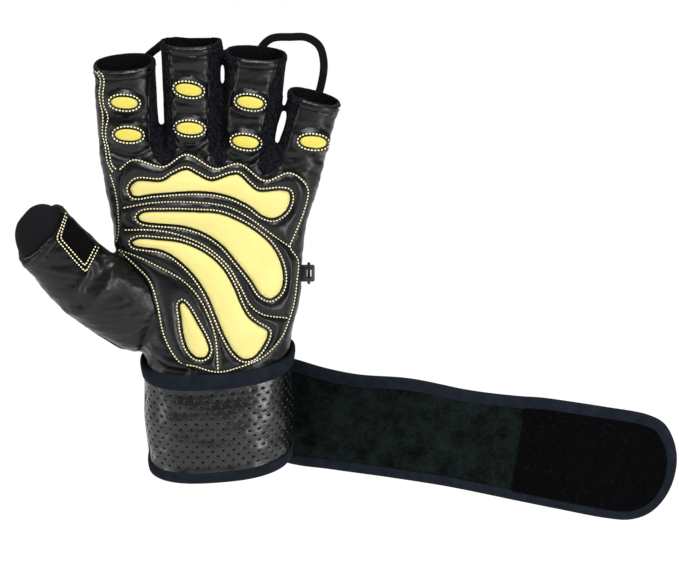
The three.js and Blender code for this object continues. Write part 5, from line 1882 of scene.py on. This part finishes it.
front_nodes = ["palm_front", "thumb_front", *[row[0] + "_front" for row in FINGERS]]
back_nodes = ["palm_back", *[row[0] + "_back" for row in FINGERS]]
dress(front_panel, black_leather, front_nodes, SMOOTH)
dress(back_panel, back_knit_finish, back_nodes, SMOOTH)
dress(thumb_back, black_leather, ["thumb_back"], SMOOTH)
for strip_name, strip in fourchettes.items():
    dress(strip, boucle_knit, [strip_name], SMOOTH)
dress(palm_quilt, quilt_leather, ["palm_overlay"], SMOOTH)
for window_name, inlay in inlays.items():
    dress(inlay, yellow_leather, [window_name], SMOOTH)
for pad_name, pad in pads.items():
    dress(pad, pad_leather, [pad_name], SMOOTH)
dress(suede_patch, suede, ["thumb_patch"], SMOOTH)
dress(thumb_tip, cover_knit, ["thumb_tip_cover"], SMOOTH)
dress(cuff_front, gloss_leather, ["cuff_front"], SMOOTH)
cuff_front.data.materials.append(hole_lining_and_shade)
dress(cuff_back, back_knit_finish, ["cuff_back"], SMOOTH)
for tape, node in (
    (top_tape, "cuff_top_binding"), (bottom_tape, "cuff_bottom_binding"), (strap_tape, "strap_binding"),
):
    dress(tape, binding, [node])
dress(strap_fabric, loop_fabric, ["strap_band", "strap_loop_panel"], SMOOTH)
dress(strap_hooks, hook_tape, ["strap_hook_patch"], SMOOTH)
for tape_name, tape in pull_tapes.items():
    dress(tape, elastic, [tape_name.replace("tape", "loop")])
dress(clip, plastic, ["side_clip"], CRISP)
dress(pin, plastic, ["side_clip_pin"], CRISP)
for thread in (palm_stitches, pad_stitches, edge_stitches, rim_overlock):
    dress(thread, yellow_thread)
for thread in (side_overlock, hem_stitches):
    dress(thread, black_thread)
dress(side_welts, gloss_leather)
bpy.data.objects.remove(outer_form)

# %% [markdown]
# ## Studio
# A plain pale floor that runs far back behind the glove, an even sky and a wide sun from above. Two
# tall, narrow soft lamps stand at the glove's own height: the key on the right draws the long highlight
# down the glossy cuff and on the folds, and a weaker one on the left opens the shadows.

# %% Floor, sky and lamps
FLOOR_SIZE, FLOOR_PLACE = 400, (0, 150, -0.32)
SKY_STRENGTH = 0.22
SUN_TILT, SUN_WIDTH, SUN_STRENGTH = math.radians(10), math.radians(25), 2.75
GLOVE_MIDDLE = (0.05, 0, 0.09)
bpy.ops.object.select_all(action="DESELECT")
bpy.ops.mesh.primitive_plane_add(size=FLOOR_SIZE, location=FLOOR_PLACE)
floor = bpy.context.object
floor.name = "pale_floor"
floor_paint, floor_tree, floor_shader, floor_place = surface("matt_pale_floor", "#fbfbfb", 0.95)
two_tone(floor_tree, floor_shader, noise_at(floor_tree, floor_place, 900, 2), "#fafafa", "#fefefe")
floor.data.materials.append(floor_paint)

world = bpy.data.worlds.new("soft_sky")
bpy.context.scene.world = world
world.use_nodes = True
sky = world.node_tree.nodes["Background"]
sky.inputs["Color"].default_value = (1, 1, 1, 1)
sky.inputs["Strength"].default_value = SKY_STRENGTH


def lamp(name, place, size, power):
    """A tall soft lamp that points at the glove."""
    bpy.ops.object.select_all(action="DESELECT")
    bpy.ops.object.light_add(type="AREA", location=place)
    made = bpy.context.object
    made.name = name
    made.data.shape = "RECTANGLE"
    made.data.size, made.data.size_y = size
    made.data.energy = power
    toward = Vector(GLOVE_MIDDLE) - Vector(place)
    made.rotation_euler = toward.to_track_quat("-Z", "Y").to_euler()


lamp("key_softbox", (0.85, -1.0, 0.2), (0.2, 0.95), 10)
lamp("left_softbox", (-1.25, -0.45, 0.25), (0.3, 0.95), 5)
bpy.ops.object.select_all(action="DESELECT")
bpy.ops.object.light_add(type="SUN", rotation=(SUN_TILT, 0, SUN_TILT))
sun = bpy.context.object
sun.name = "wide_sun"
sun.data.angle = SUN_WIDTH
sun.data.energy = SUN_STRENGTH
bpy.context.scene.view_settings.view_transform = "Standard"
